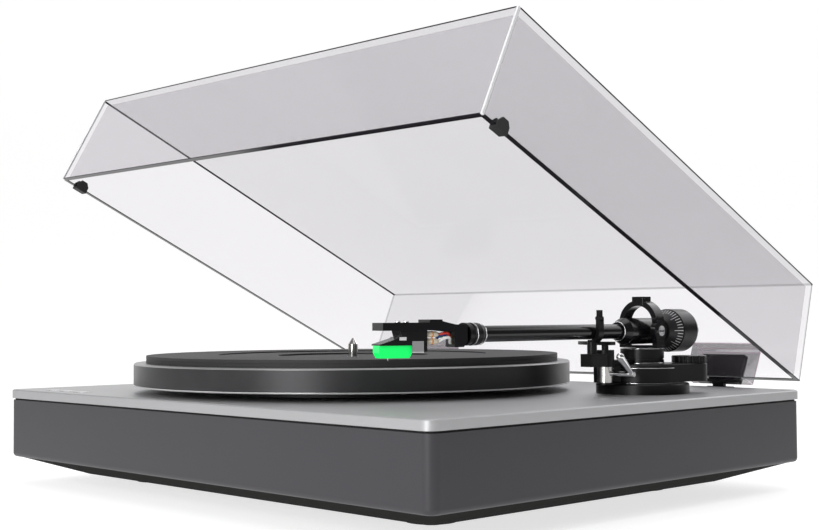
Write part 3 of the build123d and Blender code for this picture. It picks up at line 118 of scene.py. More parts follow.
class Value:
    """A number that varies over a surface. Arithmetic on it adds Math nodes."""

    def __init__(self, paint, socket):
        self.paint = paint
        self.socket = socket

    def math(self, operation, *others):
        return self.paint.node("ShaderNodeMath", {"operation": operation}, self, *others)

    def __add__(self, other):
        return self.math("ADD", other)

    def __mul__(self, other):
        return self.math("MULTIPLY", other)

    def __sub__(self, other):
        return self.math("SUBTRACT", other)

    def __rsub__(self, other):
        return self.paint.node("ShaderNodeMath", {"operation": "SUBTRACT"}, other, self)

    def __truediv__(self, other):
        return self.math("DIVIDE", other)

    def __rtruediv__(self, other):
        return self.paint.node("ShaderNodeMath", {"operation": "DIVIDE"}, other, self)

    __radd__ = __add__
    __rmul__ = __mul__

    def hypot(self, other):
        """Length of the two values as sides at a right angle."""
        return (self * self + other * other).math("SQRT")

    def rings(self, pitch):
        """A wave from 0 to 1 and back along the value, once in each pitch."""
        return (self * (2 * pi / pitch)).math("SINE") * 0.5 + 0.5

    def near(self, place, half_width, softness):
        """1 where the value is within half_width of place, falling to 0 over softness."""
        away = (self - place).math("ABSOLUTE")
        return 1 - self.paint.ramp01(away, half_width, half_width + softness)


class Paint:
    """One material: a Principled shader, and patterns worked out from object coordinates."""

    def __init__(self, name, colour, metallic=0.0, roughness=0.5, coat=0.0, specular=0.5):
        self.material = bpy.data.materials.new(name)
        self.material.use_nodes = True
        self.tree = self.material.node_tree
        self.shader = self.tree.nodes["Principled BSDF"]
        for socket, value in (("Base Color", colour), ("Metallic", metallic),
                              ("Roughness", roughness), ("Coat Weight", coat),
                              ("Specular IOR Level", specular)):
            self.set(socket, value)
        self.material.diffuse_color = (*colour[:3], 1.0)

    def feed(self, socket, value):
        """Link a value to a socket, or set the socket to a constant."""
        if isinstance(value, Value):
            self.tree.links.new(value.socket, socket)
        else:
            socket.default_value = (*value[:3], 1.0) if socket.type == "RGBA" else value

    def set(self, socket, value):
        """Feed one of the shader's sockets."""
        self.feed(self.shader.inputs[socket], value)

    def node(self, kind, settings=None, *values, output=0, at=None, **named):
        """Add a node: its settings first, then the values or links of its sockets, given
        in order, by their places (at) or by their names."""
        made = self.tree.nodes.new(kind)
        for key, value in (settings or {}).items():
            setattr(made, key, value)
        for key, value in [*enumerate(values), *(at or {}).items(), *named.items()]:
            self.feed(made.inputs[key if isinstance(key, int) else key.replace("_", " ")], value)
        return Value(self, made.outputs[output])

    def vector(self, operation, *values):
        return self.node("ShaderNodeVectorMath", {"operation": operation}, *values)

    def place(self):
        """Object coordinates."""
        return self.node("ShaderNodeTexCoord", output="Object")

    def axes(self, origin=(0, 0, 0), turned=0.0):
        """The three object coordinates about an origin, turned about X by an angle."""
        moved = self.vector("SUBTRACT", self.place(), tuple(origin))
        if turned:
            moved = self.node("ShaderNodeVectorRotate", {"rotation_type": "X_AXIS"}, moved,
                              Angle=turned)
        return [self.node("ShaderNodeSeparateXYZ", None, moved, output=axis) for axis in "XYZ"]

    def noise(self, scale, detail=3.0, stretch=None, seed=0.0):
        """Soft noise from 0 to 1, so many features a metre, stretched along an axis if asked."""
        place = self.place()
        if stretch:
            place = self.vector("MULTIPLY", place, stretch)
        if seed:
            place = self.vector("ADD", place, (seed, seed, seed))
        return self.node("ShaderNodeTexNoise", None, Vector=place, Scale=scale, Detail=detail)

    def ramp01(self, value, start, end):
        """0 below start, 1 above end, smooth between."""
        return self.node("ShaderNodeMapRange", {"interpolation_type": "SMOOTHSTEP"},
                         value, start, end, 0.0, 1.0)

    def spread(self, value, low_out, high_out):
        """A 0 to 1 value brought to a narrower range."""
        return self.node("ShaderNodeMapRange", None, value, 0.0, 1.0, low_out, high_out)

    def mix(self, factor, first, second):
        """Colour between two colours."""
        return self.node("ShaderNodeMix", {"data_type": "RGBA"},
                         at={0: factor, 6: first, 7: second}, output=2)

    def tone(self, value, colour, down, up):
        """Base colour varied darker and lighter round one colour by a 0 to 1 value."""
        dark = [channel * down for channel in colour[:3]]
        light = [min(1.0, channel * up) for channel in colour[:3]]
        mixed = self.mix(value, dark, light)
        self.set("Base Color", mixed)
        return mixed

    def wear(self, value, roughness, down, up):
        """Roughness varied round one roughness by a 0 to 1 value."""
        self.set("Roughness", self.spread(value, roughness * down, min(1.0, roughness * up)))

    def bump(self, height, depth):
        """Relief from a 0 to 1 height, of a real depth in metres."""
        self.set("Normal", self.node("ShaderNodeBump", None, Strength=1.0, Distance=depth,
                                     Height=height))

    def clear(self, tint):
        """A see-through shader that tints what is behind it."""
        return self.node("ShaderNodeBsdfTransparent", None, Color=tint)

    def layer(self, factor, below, above=None):
        """One shader over another, the main shader if no other is given, as the surface."""
        above = above or Value(self, self.shader.outputs[0])
        whole = self.node("ShaderNodeMixShader", None, factor, below, above)
        self.feed(self.tree.nodes["Material Output"].inputs["Surface"], whole)
        return whole


# Finishes

def satin_paint(name, colour, roughness=0.38, grain=1800.0, depth=0.02 * MM, coat=0.0,
                specular=0.5):
    """Sprayed satin paint: fine orange peel, slight cloudiness in its gloss."""
    paint = Paint(name, colour, 0.0, roughness, coat, specular)
    peel, cloud = paint.noise(grain, 2.0), paint.noise(22.0, 3.0, seed=3.0)
    paint.wear(cloud, roughness, 0.88, 1.12)
    paint.tone(cloud, colour, 0.93, 1.07)
    paint.bump(peel, depth)
    return paint


def blasted_metal(name, colour, roughness=0.3, grain=3200.0, depth=0.012 * MM, metallic=1.0):
    """Bead-blasted or anodised metal: pin-point grain in colour and relief."""
    paint = Paint(name, colour, metallic, roughness)
    grit, cloud = paint.noise(grain, 2.0), paint.noise(14.0, 4.0, seed=7.0)
    paint.tone(grit, colour, 0.94, 1.06)
    paint.wear(cloud, roughness, 0.9, 1.1)
    paint.bump(grit, depth)
    return paint


def turned_metal(name, colour, centre, across, roughness=0.2, pitch=0.4 * MM, depth=0.01 * MM,
                 metallic=1.0):
    """Lathe-turned metal: fine rings about a line through centre, seen across two axes."""
    paint = Paint(name, colour, metallic, roughness)
    split = paint.axes(centre)
    first, second = (split[index] for index in across)
    cloud = paint.noise(400.0, 3.0)
    paint.tone(cloud, colour, 0.9, 1.08)
    paint.wear(cloud, roughness, 0.8, 1.25)
    paint.bump(first.hypot(second).rings(pitch), depth)
    return paint


def moulded(name, colour, roughness=0.45, grain=2400.0, depth=0.03 * MM, specular=0.5, coat=0.0):
    """Moulded plastic with a fine spark-eroded grain."""
    paint = Paint(name, colour, 0.0, roughness, coat, specular)
    grit, cloud = paint.noise(grain, 4.0), paint.noise(60.0, 3.0, seed=2.0)
    paint.tone(cloud, colour, 0.9, 1.1)
    paint.wear(grit, roughness, 0.85, 1.1)
    paint.bump(grit, depth)
    return paint


def rubber(name, colour, roughness=0.7, grain=1500.0, depth=0.04 * MM):
    """Matt rubber: dusty bloom over a soft grain."""
    paint = Paint(name, colour, 0.0, roughness, 0.0, 0.35)
    grit, bloom = paint.noise(grain, 4.0), paint.noise(35.0, 5.0, seed=5.0)
    paint.tone(bloom, colour, 0.8, 1.35)
    paint.wear(grit, roughness, 0.9, 1.15)
    paint.bump(grit, depth)
    return paint


def polished(name, colour, roughness=0.08, depth=0.003 * MM):
    """Plated or polished metal with faint wiping marks."""
    paint = Paint(name, colour, 1.0, roughness)
    wipe = paint.noise(900.0, 3.0, stretch=(1.0, 0.15, 1.0))
    paint.tone(wipe, colour, 0.93, 1.05)
    paint.wear(wipe, roughness, 0.6, 1.6)
    paint.bump(wipe, depth)
    return paint


def brushed(name, colour, stretch, roughness=0.28, depth=0.008 * MM):
    """Brushed or rolled metal: streaks along one axis."""
    paint = Paint(name, colour, 1.0, roughness)
    streak = paint.noise(1400.0, 3.0, stretch=stretch)
    paint.tone(streak, colour, 0.88, 1.1)
    paint.wear(streak, roughness, 0.8, 1.3)
    paint.bump(streak, depth)
    return paint


def platter_mat_rubber(name, colour, pitch=1.6 * MM, depth=0.08 * MM):
    """The mat: fine moulded rings about the spindle, and dust in them."""
    paint = Paint(name, colour, 0.0, 0.5, 0.0, 0.45)
    x, y, z = paint.axes((SPINDLE.x, SPINDLE.y, 0.0))
    paint.tone(paint.noise(40.0, 5.0), colour, 0.85, 1.3)
    paint.set("Roughness", paint.spread(paint.noise(1200.0, 3.0), 0.5, 0.68))
    paint.bump(x.hypot(y).rings(pitch) * 0.7 + paint.noise(1800.0, 2.0) * 0.3, depth)
    return paint


def platter_black_metal(name, colour, pitch=0.3 * MM, depth=0.004 * MM):
    """Black anodised rim with fine turning; a light band painted at its two edges: a painted reflection of the top
    plate at the lower edge and a fainter painted highlight at the upper edge.
    """
    paint = Paint(name, colour, 0.5, 0.3)
    x, y, z = paint.axes((SPINDLE.x, SPINDLE.y, 0.0))
    edge, softness = 0.45 * MM, 0.1 * MM
    # Painted reflection and highlight: light bands in the base colour at the rim's lower edge, full, and at its
    # upper edge, at about a third.
    lower_edge_reflection = z.near(low("platter").z + edge, edge, softness)
    upper_edge_highlight = z.near(high("platter").z - edge, edge, softness) * 0.35
    cloud = paint.noise(90.0, 4.0)
    base = paint.tone(cloud, colour, 0.85, 1.2)
    paint.set("Base Color", paint.mix(lower_edge_reflection + upper_edge_highlight, base, (0.8, 0.8, 0.8)))
    paint.set("Roughness", paint.spread(cloud, 0.3, 0.4))
    paint.bump(z.rings(pitch), depth)
    return paint


def glowing(paint, colour, strength):
    """Painted glow: an emission of the surface's own colour, so that it gives back a little more light than falls
    on it.
    """
    paint.set("Emission Color", colour)
    paint.set("Emission Strength", strength)
    return paint


def clear_moulding(name, tint):
    """Clear moulded sockets of the hinges: glossier than the sheet, darker seen edge on."""
    paint = Paint(name, (0.1, 0.09, 0.1), 0.0, 0.04, 0.0, 0.8)
    skin = paint.node("ShaderNodeFresnel", None, IOR=1.6)
    ripple = paint.noise(120.0, 3.0)
    share = (skin * 0.5 + paint.spread(ripple, 0.01, 0.04)).math("MINIMUM", 0.9)
    paint.bump(ripple, 0.2 * MM)
    paint.layer(share, paint.clear(tint))
    return paint


def clear_acrylic(name, tint, painted_edge_shade):
    """Clear sheet: see-through with a glossy skin; its rim and the corners where two faces meet painted dark as
    painted shade, and its front side corners painted light as a painted highlight.
    A corner is where the distances to two faces are both under a line's width."""
    paint = Paint(name, (0.3, 0.29, 0.31), 0.0, 0.03)
    paint.material.diffuse_color = (*tint[:3], 1.0)
    x, y, z = paint.axes(RIM_LINE, LID_OPEN)
    from_side = LID_HALF_WIDTH - z * LID_SIDE_SLOPE - x.math("ABSOLUTE")
    from_rear = z * -LID_REAR_SLOPE - y
    from_front = y - (z * LID_FRONT_SLOPE - LID_DEPTH)
    from_top = LID_HEIGHT - z
    line, fade = 0.8 * MM, 1.6

    def corner(first, second, width=line):
        return 1 - paint.ramp01(first.math("MAXIMUM", second), width, width * fade)

    # Painted shade: the dark mask darkens the bottom rim and the corners of the sheet; lit marks a painted
    # highlight on the front side corners.
    dark = 1 - paint.ramp01(z, line * 0.6, line)
    lit = corner(from_side, from_front, line * 1.6)
    for mark in (corner(from_side, from_top), corner(from_front, from_top),
                 corner(from_rear, from_top) * 0.35, corner(from_side, from_rear) * 0.3, lit):
        dark = dark.math("MAXIMUM", mark)
    skin = paint.node("ShaderNodeFresnel", None, IOR=1.35)
    share = skin * 0.22 + paint.spread(paint.noise(9.0, 4.0), 0.008, 0.02)
    sheet = paint.layer(share.math("MINIMUM", 1.0), paint.clear(tint))
    edge = paint.node("ShaderNodeBsdfPrincipled", None, Roughness=0.12,
                      Base_Color=paint.mix(lit, painted_edge_shade, (0.9, 0.9, 0.92)))
    paint.layer(dark, sheet, edge)
    return paint




# Shapes from arrays

def linked(name, data):
    """An object with this data, in the open collection."""
    made = bpy.data.objects.new(name, data)
    bpy.context.collection.objects.link(made)
    return made


def make_object(name, points, faces, key, body, smooth=True):
    """A mesh object at the origin from point and face arrays, in one of the added
    finishes, riding on a body."""
    mesh = bpy.data.meshes.new(name)
    mesh.from_pydata(np.asarray(points, float).tolist(), [],
                     [list(map(int, face)) for face in faces])
    mesh.validate()
    mesh.polygons.foreach_set("use_smooth", np.full(len(mesh.polygons), smooth))
    mesh.update()
    made = linked(name, mesh)
    paint = PAINTS[key]
    made.data.materials.append(paint.material)
    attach(made, body)
    return made


def grid_faces(rows, columns, closed_rows=False, closed_columns=False):
    """Quads over a rows by columns grid of points."""
    row = np.arange(rows if closed_rows else rows - 1)
    column = np.arange(columns if closed_columns else columns - 1)
    first, second = np.meshgrid(row, column, indexing="ij")
    next_row, next_column = (first + 1) % rows, (second + 1) % columns
    corners = [first * columns + second, next_row * columns + second,
               next_row * columns + next_column, first * columns + next_column]
    return np.stack(corners, axis=-1).reshape(-1, 4)


def joined(*shapes):
    """Several point and face sets as one."""
    points, faces, start = [], [], 0
    for shape_points, shape_faces in shapes:
        points.append(np.asarray(shape_points))
        faces.extend([[corner + start for corner in face] for face in shape_faces])
        start += len(shape_points)
    return np.concatenate(points), faces


def basis(axis):
    """Three directions at right angles, the last along the axis."""
    forward = Vector(axis).normalized()
    side = UP.cross(forward)
    if side.length < 1e-6:
        side = Vector((1, 0, 0)).cross(forward)
    side.normalize()
    return np.array([side, forward.cross(side), forward])


def turned(centre, axis, profile, steps=48):
    """A profile of (radius, distance along the axis) turned about it:
    p = centre + r (cos a side + sin a up) + d forward. An end off the axis gets a flat cap."""
    side, up, forward = basis(axis)
    profile = np.asarray(profile, float)
    angle = np.linspace(0, 2 * pi, steps, endpoint=False)
    radius = profile[:, 0][:, None, None]
    along = profile[:, 1][:, None, None]
    around = np.cos(angle)[None, :, None] * side + np.sin(angle)[None, :, None] * up
    points = (np.asarray(centre) + radius * around + along * forward).reshape(-1, 3)
    faces = grid_faces(len(profile), steps, closed_columns=True)[:, ::-1].tolist()
    if profile[0, 0] > 0:
        faces.append(list(range(steps))[::-1])
    if profile[-1, 0] > 0:
        faces.append(list(range(len(points) - steps, len(points))))
    return points, faces


def ring_of(centre, axis, radius, wire, steps=48, around=10):
    """A round ring of round wire: p = centre + (R + r cos b) e(a) + r sin b forward."""
    side, up, forward = basis(axis)
    a = np.linspace(0, 2 * pi, steps, endpoint=False)[:, None, None]
    b = np.linspace(0, 2 * pi, around, endpoint=False)[None, :, None]
    outward = np.cos(a) * side + np.sin(a) * up
    points = (np.asarray(centre) + (radius + wire * np.cos(b)) * outward
              + wire * np.sin(b) * forward)
    return points.reshape(-1, 3), grid_faces(steps, around, True, True)[:, ::-1].tolist()


def tube_along(path, radius, around=12):
    """A round tube along a line of points: p = path + r (cos a side + sin a up). The side
    is carried from point to point without twist."""
    path = np.asarray(path, float)
    tangent = np.gradient(path, axis=0)
    tangent /= np.linalg.norm(tangent, axis=1)[:, None]
    side = np.cross(tangent[0], (0.0, 0.0, 1.0))
    if np.linalg.norm(side) < 1e-6:
        side = np.cross(tangent[0], (1.0, 0.0, 0.0))
    sides = []
    for direction in tangent:
        side = side - direction * side.dot(direction)
        side = side / np.linalg.norm(side)
        sides.append(side)
    sides = np.array(sides)
    ups = np.cross(tangent, sides)
    angle = np.linspace(0, 2 * pi, around, endpoint=False)
    radius = np.broadcast_to(radius, len(path))[:, None, None]
    outward = (np.cos(angle)[None, :, None] * sides[:, None]
               + np.sin(angle)[None, :, None] * ups[:, None])
    points = (path[:, None] + radius * outward).reshape(-1, 3)
    faces = grid_faces(len(path), around, closed_columns=True).tolist()
    faces += [list(range(around)), list(range(len(points) - around, len(points)))[::-1]]
    return points, faces


def smooth_path(knots, count=24):
    """A smooth line through a few knots, a cubic between each two of them:
    p = (2 b + (c - a) t + (2 a - 5 b + 4 c - d) t^2 + (3 b - a - 3 c + d) t^3) / 2."""
    knots = np.asarray(knots, float)
    padded = np.vstack([2 * knots[0] - knots[1], knots, 2 * knots[-1] - knots[-2]])
    pieces = []
    t = np.linspace(0, 1, count, endpoint=False)[:, None]
    for a, b, c, d in zip(padded, padded[1:], padded[2:], padded[3:]):
        pieces.append(0.5 * (2 * b + (c - a) * t + (2 * a - 5 * b + 4 * c - d) * t ** 2
                             + (3 * b - a - 3 * c + d) * t ** 3))
    return np.vstack([*pieces, knots[-1:]])


def block(centre, size, axes=None):
    """A box about a centre, its edges along three directions."""
    axes = np.eye(3) if axes is None else np.asarray(axes)
    signs = np.array([[x, y, z] for x in (-1, 1) for y in (-1, 1) for z in (-1, 1)]) / 2
    points = np.asarray(centre) + (signs * np.asarray(size)) @ axes
    faces = [(0, 1, 3, 2), (4, 6, 7, 5), (0, 4, 5, 1), (2, 3, 7, 6), (0, 2, 6, 4), (1, 5, 7, 3)]
    return points, [list(face) for face in faces]


def screw_head(centre, axis, radius, height):
    """A pan head with a chamfered foot and a rounded top."""
    profile = [(0, 0), (0.92, 0), (1, 0.25), (0.96, 0.7), (0.7, 1), (0, 1)]
    return turned(centre, axis, np.array(profile) * (radius, height), 28)


# Which finish each material slot wears

def node_paints(c):
    """One finish for every slot of the record, in the colours of the panel."""
    pivot, spindle, cylinder = tuple(PIVOT), tuple(SPINDLE), tuple(middle("lift_cylinder"))
    level, across_arm, side_on = (0, 1), (0, 2), (1, 2)
    return {
        "casing_black": satin_paint("Casing paint", c.casing, 0.42, specular=0.35),
        "gap_black": moulded("Shadow line liner", c.gap, 0.8),
        "plate_silver": blasted_metal("Top plate", c.plate, 0.46, metallic=0.8),
        "pan_black": moulded("Bottom pan", c.pan, 0.8, specular=0.04),
        "foot_rubber": rubber("Foot rubber", c.rubber),
        "isolator_rubber": rubber("Motor ring rubber", c.rubber, 0.8),
        "motor_steel": brushed("Motor can", c.steel, (1.0, 1.0, 0.1)),
        "shaft_steel": polished("Ground steel", c.steel, 0.15),
        "pulley_metal": turned_metal("Pulley", c.bright, tuple(middle("motor_pulley")), level),
        "belt_rubber": rubber("Belt rubber", c.rubber, 0.55),
        "bearing_brass": turned_metal("Bearing brass", c.brass, spindle, level, 0.3),
        "bush_bronze": blasted_metal("Sintered bronze", c.bronze, 0.45, 2200.0, 0.03 * MM),
        "inner_platter_plastic": moulded("Inner platter", c.black, 0.5),
        "spindle_steel": turned_metal("Spindle", c.bright, spindle, level,
                                      0.12, 0.3 * MM, 0.004 * MM),
        "platter_black": platter_black_metal("Platter", c.platter),
        "mat_rubber": platter_mat_rubber("Platter mat", c.mat),
        "button_silver": turned_metal("Button caps", c.plate, tuple(middle("power_button")), level,
                                      0.26, 0.5 * MM, 0.003 * MM),
        "board_green": moulded("Circuit board", c.board, 0.35, 900.0, 0.02 * MM, coat=0.4),
        "panel_black": moulded("Back panel", c.black, 0.5),
        "socket_gold": polished("Plated sockets", c.gold, 0.16),
        "post_nickel": polished("Nickel plate", c.steel, 0.2),
        "arm_black": satin_paint("Arm base paint", c.black, 0.3, specular=0.22),
        "arm_gloss": satin_paint("Arm gloss", c.gloss, 0.16, 900.0, 0.008 * MM, 0.1, 0.35),
        "lift_silver": turned_metal("Lift cylinder", c.bright, cylinder, level, 0.22, 0.5 * MM),
        "lever_chrome": polished("Lever chrome", c.chrome, 0.07),
        "screw_chrome": turned_metal("Pivot screws", c.chrome, pivot, side_on,
                                     0.12, 0.8 * MM, 0.03 * MM),
        "weight_black": turned_metal("Counterweight", c.weight, pivot, across_arm,
                                     0.3, 0.7 * MM, 0.012 * MM, 0.5),
        "ring_grey": satin_paint("Scale ring", c.ring, 0.35, 2500.0, 0.01 * MM, specular=0.3),
        "collar_black": turned_metal("Locking collar", c.collar, pivot, across_arm,
                                     0.3, 0.6 * MM, 0.02 * MM, 0.7),
        "shell_black": blasted_metal("Headshell", c.shell, 0.36, 3000.0, 0.01 * MM),
        "cartridge_black": moulded("Cartridge body", c.cartridge, 0.25, 1800.0, 0.01 * MM, 0.25),
        # Painted glow: the stylus holder emits its own green
        "stylus_green": glowing(moulded("Stylus holder", c.green, 0.32, 1500.0, 0.008 * MM),
                                c.green, 0.4),
        "stylus_metal": polished("Stylus tube", c.bright, 0.2),
        "lid_clear": clear_acrylic("Clear lid", c.lid, c.lid_edge_shade),
        "blade_black": moulded("Hinge plastic", c.black, 0.4, specular=0.25),
        "bumper_rubber": rubber("Bumper rubber", c.rubber, 0.6),
    }


# The four leads: how far inward each is, its height at the cartridge and in the shell,
# and how far its loop bulges up and inward, in mm
LEADS = {"green_lead": (3.6, 106.9, 107.6, -1.5, 1.2), "blue": (3.6, 102.9, 104.6, 2.6, -3.2),
         "red": (-3.6, 106.9, 105.4, 1.2, -1.6), "white": (-3.6, 102.9, 102.2, 2.2, -3.6)}

# Finishes of the pieces that only the looks have
PAINTS = {}


def added_paints(c):
    """Fill the list of added finishes, each with the record slot that it answers to."""
    lit = glowing(satin_paint("Lit clear edge", c.lit_edge, 0.1, specular=0.8), c.lit_edge, 0.3)
    made = {
        "bright": (polished("Bright trim", c.chrome, 0.12), "lever_chrome"),
        "marks": (satin_paint("Light marks", c.marks, 0.4), "ring_grey"),
        "dark_screw": (blasted_metal("Blackened screws", c.weight, 0.4), "blade_black"),
        # Painted shade: black for the insides of screw slots and recesses
        "recess": (moulded("Screw recess", c.black, 0.7), "blade_black"),
        "label": (satin_paint("Grey label", c.label, 0.5), "cartridge_black"),
        "terminal": (moulded("Terminal block", c.terminal, 0.5), "cartridge_black"),
        "lit_edge": (lit, "lid_clear"),
        "band": (moulded("Clip bands", c.band, 0.5), "cartridge_black"),
        "pin": (polished("Gilt pins", c.gold, 0.2), "socket_gold"),
        "socket_lining": (moulded("Socket ring white", c.marks, 0.4), "panel_black"),
        "socket_red": (moulded("Socket ring red", c.red, 0.4), "panel_black"),
    }
    for name in LEADS:
        lead = moulded("Lead " + name, getattr(c, name), 0.4, 1500.0, 0.01 * MM)
        made[name] = (lead, "cartridge_black")
    for key, (paint, slot) in made.items():
        paint.slot = slot
        PAINTS[key] = paint


# Settings that a person can change

def colour(name, text, value):
    return bpy.props.FloatVectorProperty(name=name, description=text, subtype="COLOR", size=3,
                                         min=0.0, max=1.0, default=value)


def distance(name, text, value):
    return bpy.props.FloatProperty(name=name, description=text, subtype="DISTANCE",
                                   default=value * MM)


class PlayerColours(bpy.types.PropertyGroup):
    """Base colours of the finishes, in linear light."""
    casing: colour("Casing", "Satin paint of the plinth casing", (0.046, 0.044, 0.05))
    gap: colour("Shadow line", "Liner in the gap under the top plate", (0.012, 0.012, 0.012))
    plate: colour("Top plate", "Blasted aluminium of the plate and buttons", (0.48, 0.48, 0.49))
    pan: colour("Bottom pan", "Moulded pan under the plinth", (0.006, 0.006, 0.005))
    rubber: colour("Rubber", "Feet, belt, bumpers and the motor's ring", (0.02, 0.02, 0.02))
    steel: colour("Steel", "Shafts, screws and the motor can", (0.6, 0.6, 0.61))
    bright: colour("Bright metal", "Spindle, pulley and lift cylinder", (0.8, 0.79, 0.77))
    brass: colour("Brass", "Bearing housing", (0.72, 0.52, 0.24))
    bronze: colour("Bronze", "Sintered bushes", (0.55, 0.36, 0.2))
    black: colour("Black", "Arm base, hinges and the back panel", (0.006, 0.006, 0.0065))
    gloss: colour("Gloss black", "Arm tube and yoke", (0.005, 0.005, 0.006))
    platter: colour("Platter", "Anodised rim of the platter", (0.035, 0.035, 0.037))
    mat: colour("Mat", "Rubber mat of the platter", (0.02, 0.02, 0.02))
    board: colour("Circuit board", "Solder resist", (0.02, 0.16, 0.07))
    gold: colour("Gold plate", "Signal sockets and pins", (0.85, 0.62, 0.24))
    chrome: colour("Chrome", "Lift lever, side screws and trim", (0.86, 0.86, 0.87))
    weight: colour("Counterweight", "Painted counterweight", (0.012, 0.012, 0.013))
    ring: colour("Scale ring", "Ring with the tracking scale", (0.03, 0.03, 0.032))
    collar: colour("Collar", "Locking collar of the headshell", (0.015, 0.015, 0.016))
    shell: colour("Headshell", "Anodised headshell", (0.022, 0.022, 0.024))
    cartridge: colour("Cartridge", "Cartridge body", (0.006, 0.006, 0.007))
    green: colour("Stylus holder", "Bright green stylus holder", (0.0, 0.9, 0.14))
    lid: colour("Lid tint", "Light that the clear lid lets through", (0.957, 0.95, 0.96))
    # Painted shade: the dark colour of the lid's rim and corners
    lid_edge_shade: colour("Lid edge shade", "Cut edges and corners of the lid", (0.012, 0.01, 0.014))
    lit_edge: colour("Lit edge", "Light in the edges of the clear sockets", (0.72, 0.62, 0.68))
    marks: colour("Marks", "Light scale marks", (0.75, 0.75, 0.75))
    label: colour("Label", "Grey panel on the cartridge", (0.32, 0.32, 0.33))
    terminal: colour("Terminals", "Block that carries the cartridge's pins", (0.78, 0.7, 0.56))
    band: colour("Clip bands", "Orange bands of the lead clips", (0.7, 0.24, 0.03))
    red: colour("Red lead", "Right channel", (0.6, 0.03, 0.02))
    blue: colour("Blue lead", "Left return", (0.03, 0.12, 0.55))
    green_lead: colour("Green lead", "Right return", (0.03, 0.35, 0.08))
    white: colour("White lead", "Left channel", (0.8, 0.8, 0.78))
    floor: colour("Floor", "Pale floor of the studio", (0.55, 0.55, 0.55))


class PlayerSizes(bpy.types.PropertyGroup):
    """Sizes of the small pieces."""
    lead_radius: distance("Lead radius", "Half the thickness of a cartridge lead", 0.85)
    scale_marks: bpy.props.IntProperty(name="Scale marks", default=40, min=8,
                                       description="Marks round the tracking scale")
    mark_width: distance("Mark width", "Width of a scale mark", 0.35)
    trim_wire: distance("Trim wire", "Radius of the bright rings of the arm base", 0.35)


class Job:
    """An operator that makes one group of pieces with the panel's colours and sizes."""

    def execute(self, context):
        self.make(context.scene.player_colours, context.scene.player_sizes)
        return {"FINISHED"}
# Pieces that only the looks have

class PLAYER_OT_dress_nodes(Job, bpy.types.Operator):
    """Give every CAD node the finish of its material slot"""
    bl_idname = "player.dress_nodes"
    bl_label = "Dress the CAD nodes"

    def make(self, colours, sizes):
        paints = node_paints(colours)
        slots = {part["node"]: part["material_slot"] for part in frame["record"]["subparts"]}
        for name, node in frame["nodes"].items():
            material = paints[slots[name]].material
            if node.data.materials:
                node.data.materials[0] = material
            else:
                node.data.materials.append(material)
        sockets = clear_moulding("Clear hinge sockets", [channel * 0.8 for channel in colours.lid])
        frame["nodes"]["lid_sockets"].data.materials[0] = sockets.material
        added_paints(colours)


class PLAYER_OT_add_arm_trim(Job, bpy.types.Operator):
    """Bright rings on the arm's base, collar and housing, and black blocks as painted shade of the slots in its
    side screws
    """
    bl_idname = "player.add_arm_trim"
    bl_label = "Add the arm's trim"

    def make(self, colours, sizes):
        tower, wire, thin = middle("arm_turret"), sizes.trim_wire, sizes.trim_wire * 0.8
        # Height, radius in mm, wire and steps of each ring round the base, from below
        base = ((high("arm_base_flange").z + wire * 1.3, 25.4, wire, 72),
                (83.0 * MM, 25.95, thin, 72),
                (low("arm_turret").z + wire, 14.3, wire, 60),
                (high("arm_turret").z - wire, 14.1, thin, 60))
        rings = [ring_of((tower.x, tower.y, height), UP, radius * MM, thickness, steps)
                 for height, radius, thickness, steps in base]
        make_object("base_trim_rings", *joined(*rings), "bright", "deck")

        def round_arm(place, radius, thickness):
            return ring_of((PIVOT.x, place, PIVOT.z), BACK, radius * MM, thickness, 48)

        collar = (round_arm(low("locking_collar").y + 6.2 * MM, 6.45, thin),
                  round_arm(high("locking_collar").y - 1.0 * MM, 6.1, thin))
        make_object("collar_trim_rings", *joined(*collar), "bright", "collar")
        housing = (round_arm(PIVOT.y - 26.0 * MM, 6.1, wire * 0.7),
                   round_arm(PIVOT.y + 12.0 * MM, 8.3, thin))
        make_object("housing_trim_rings", *joined(*housing), "bright", "tone_arm")
        for side, word in ((1, "right"), (-1, "left")):
            # Painted shade: a thin black block stands for the slot of each side screw
            slot = block(on_arm(side * 16.05, 0, 106.7), (0.2 * MM, 4.6 * MM, 0.8 * MM))
            make_object("pivot_slot_" + word, *slot, "recess", "yoke", smooth=False)


class PLAYER_OT_add_scale_marks(Job, bpy.types.Operator):
    """Light marks round the cone of the tracking scale, each fifth one longer"""
    bl_idname = "player.add_scale_marks"
    bl_label = "Add the scale marks"

    def make(self, colours, sizes):
        front, back = low("scale_ring").y, high("scale_ring").y
        small, large = 8.1 * MM, 13.9 * MM
        end, long_mark, short_mark = 0.97, 0.62, 0.38    # as shares of the cone's side
        sunk, thickness = 0.02 * MM, 0.06 * MM
        marks = []
        for index in range(sizes.scale_marks):
            angle = 2 * pi * index / sizes.scale_marks
            outward = Vector((cos(angle), 0, sin(angle)))
            reach = short_mark if index % 5 else long_mark
            first, last = (Vector((PIVOT.x, front + (back - front) * share, PIVOT.z))
                           + outward * (small + (large - small) * share)
                           for share in (end - reach, end))
            along = last - first
            round_way = Vector((-sin(angle), 0, cos(angle)))
            lift = round_way.cross(along).normalized()
            if lift.dot(outward) < 0:
                lift = -lift
            marks.append(block((first + last) / 2 + lift * sunk,
                               (along.length, sizes.mark_width, thickness),
                               [along.normalized(), round_way, lift]))
        make_object("scale_marks", *joined(*marks), "marks", "ring", smooth=False)


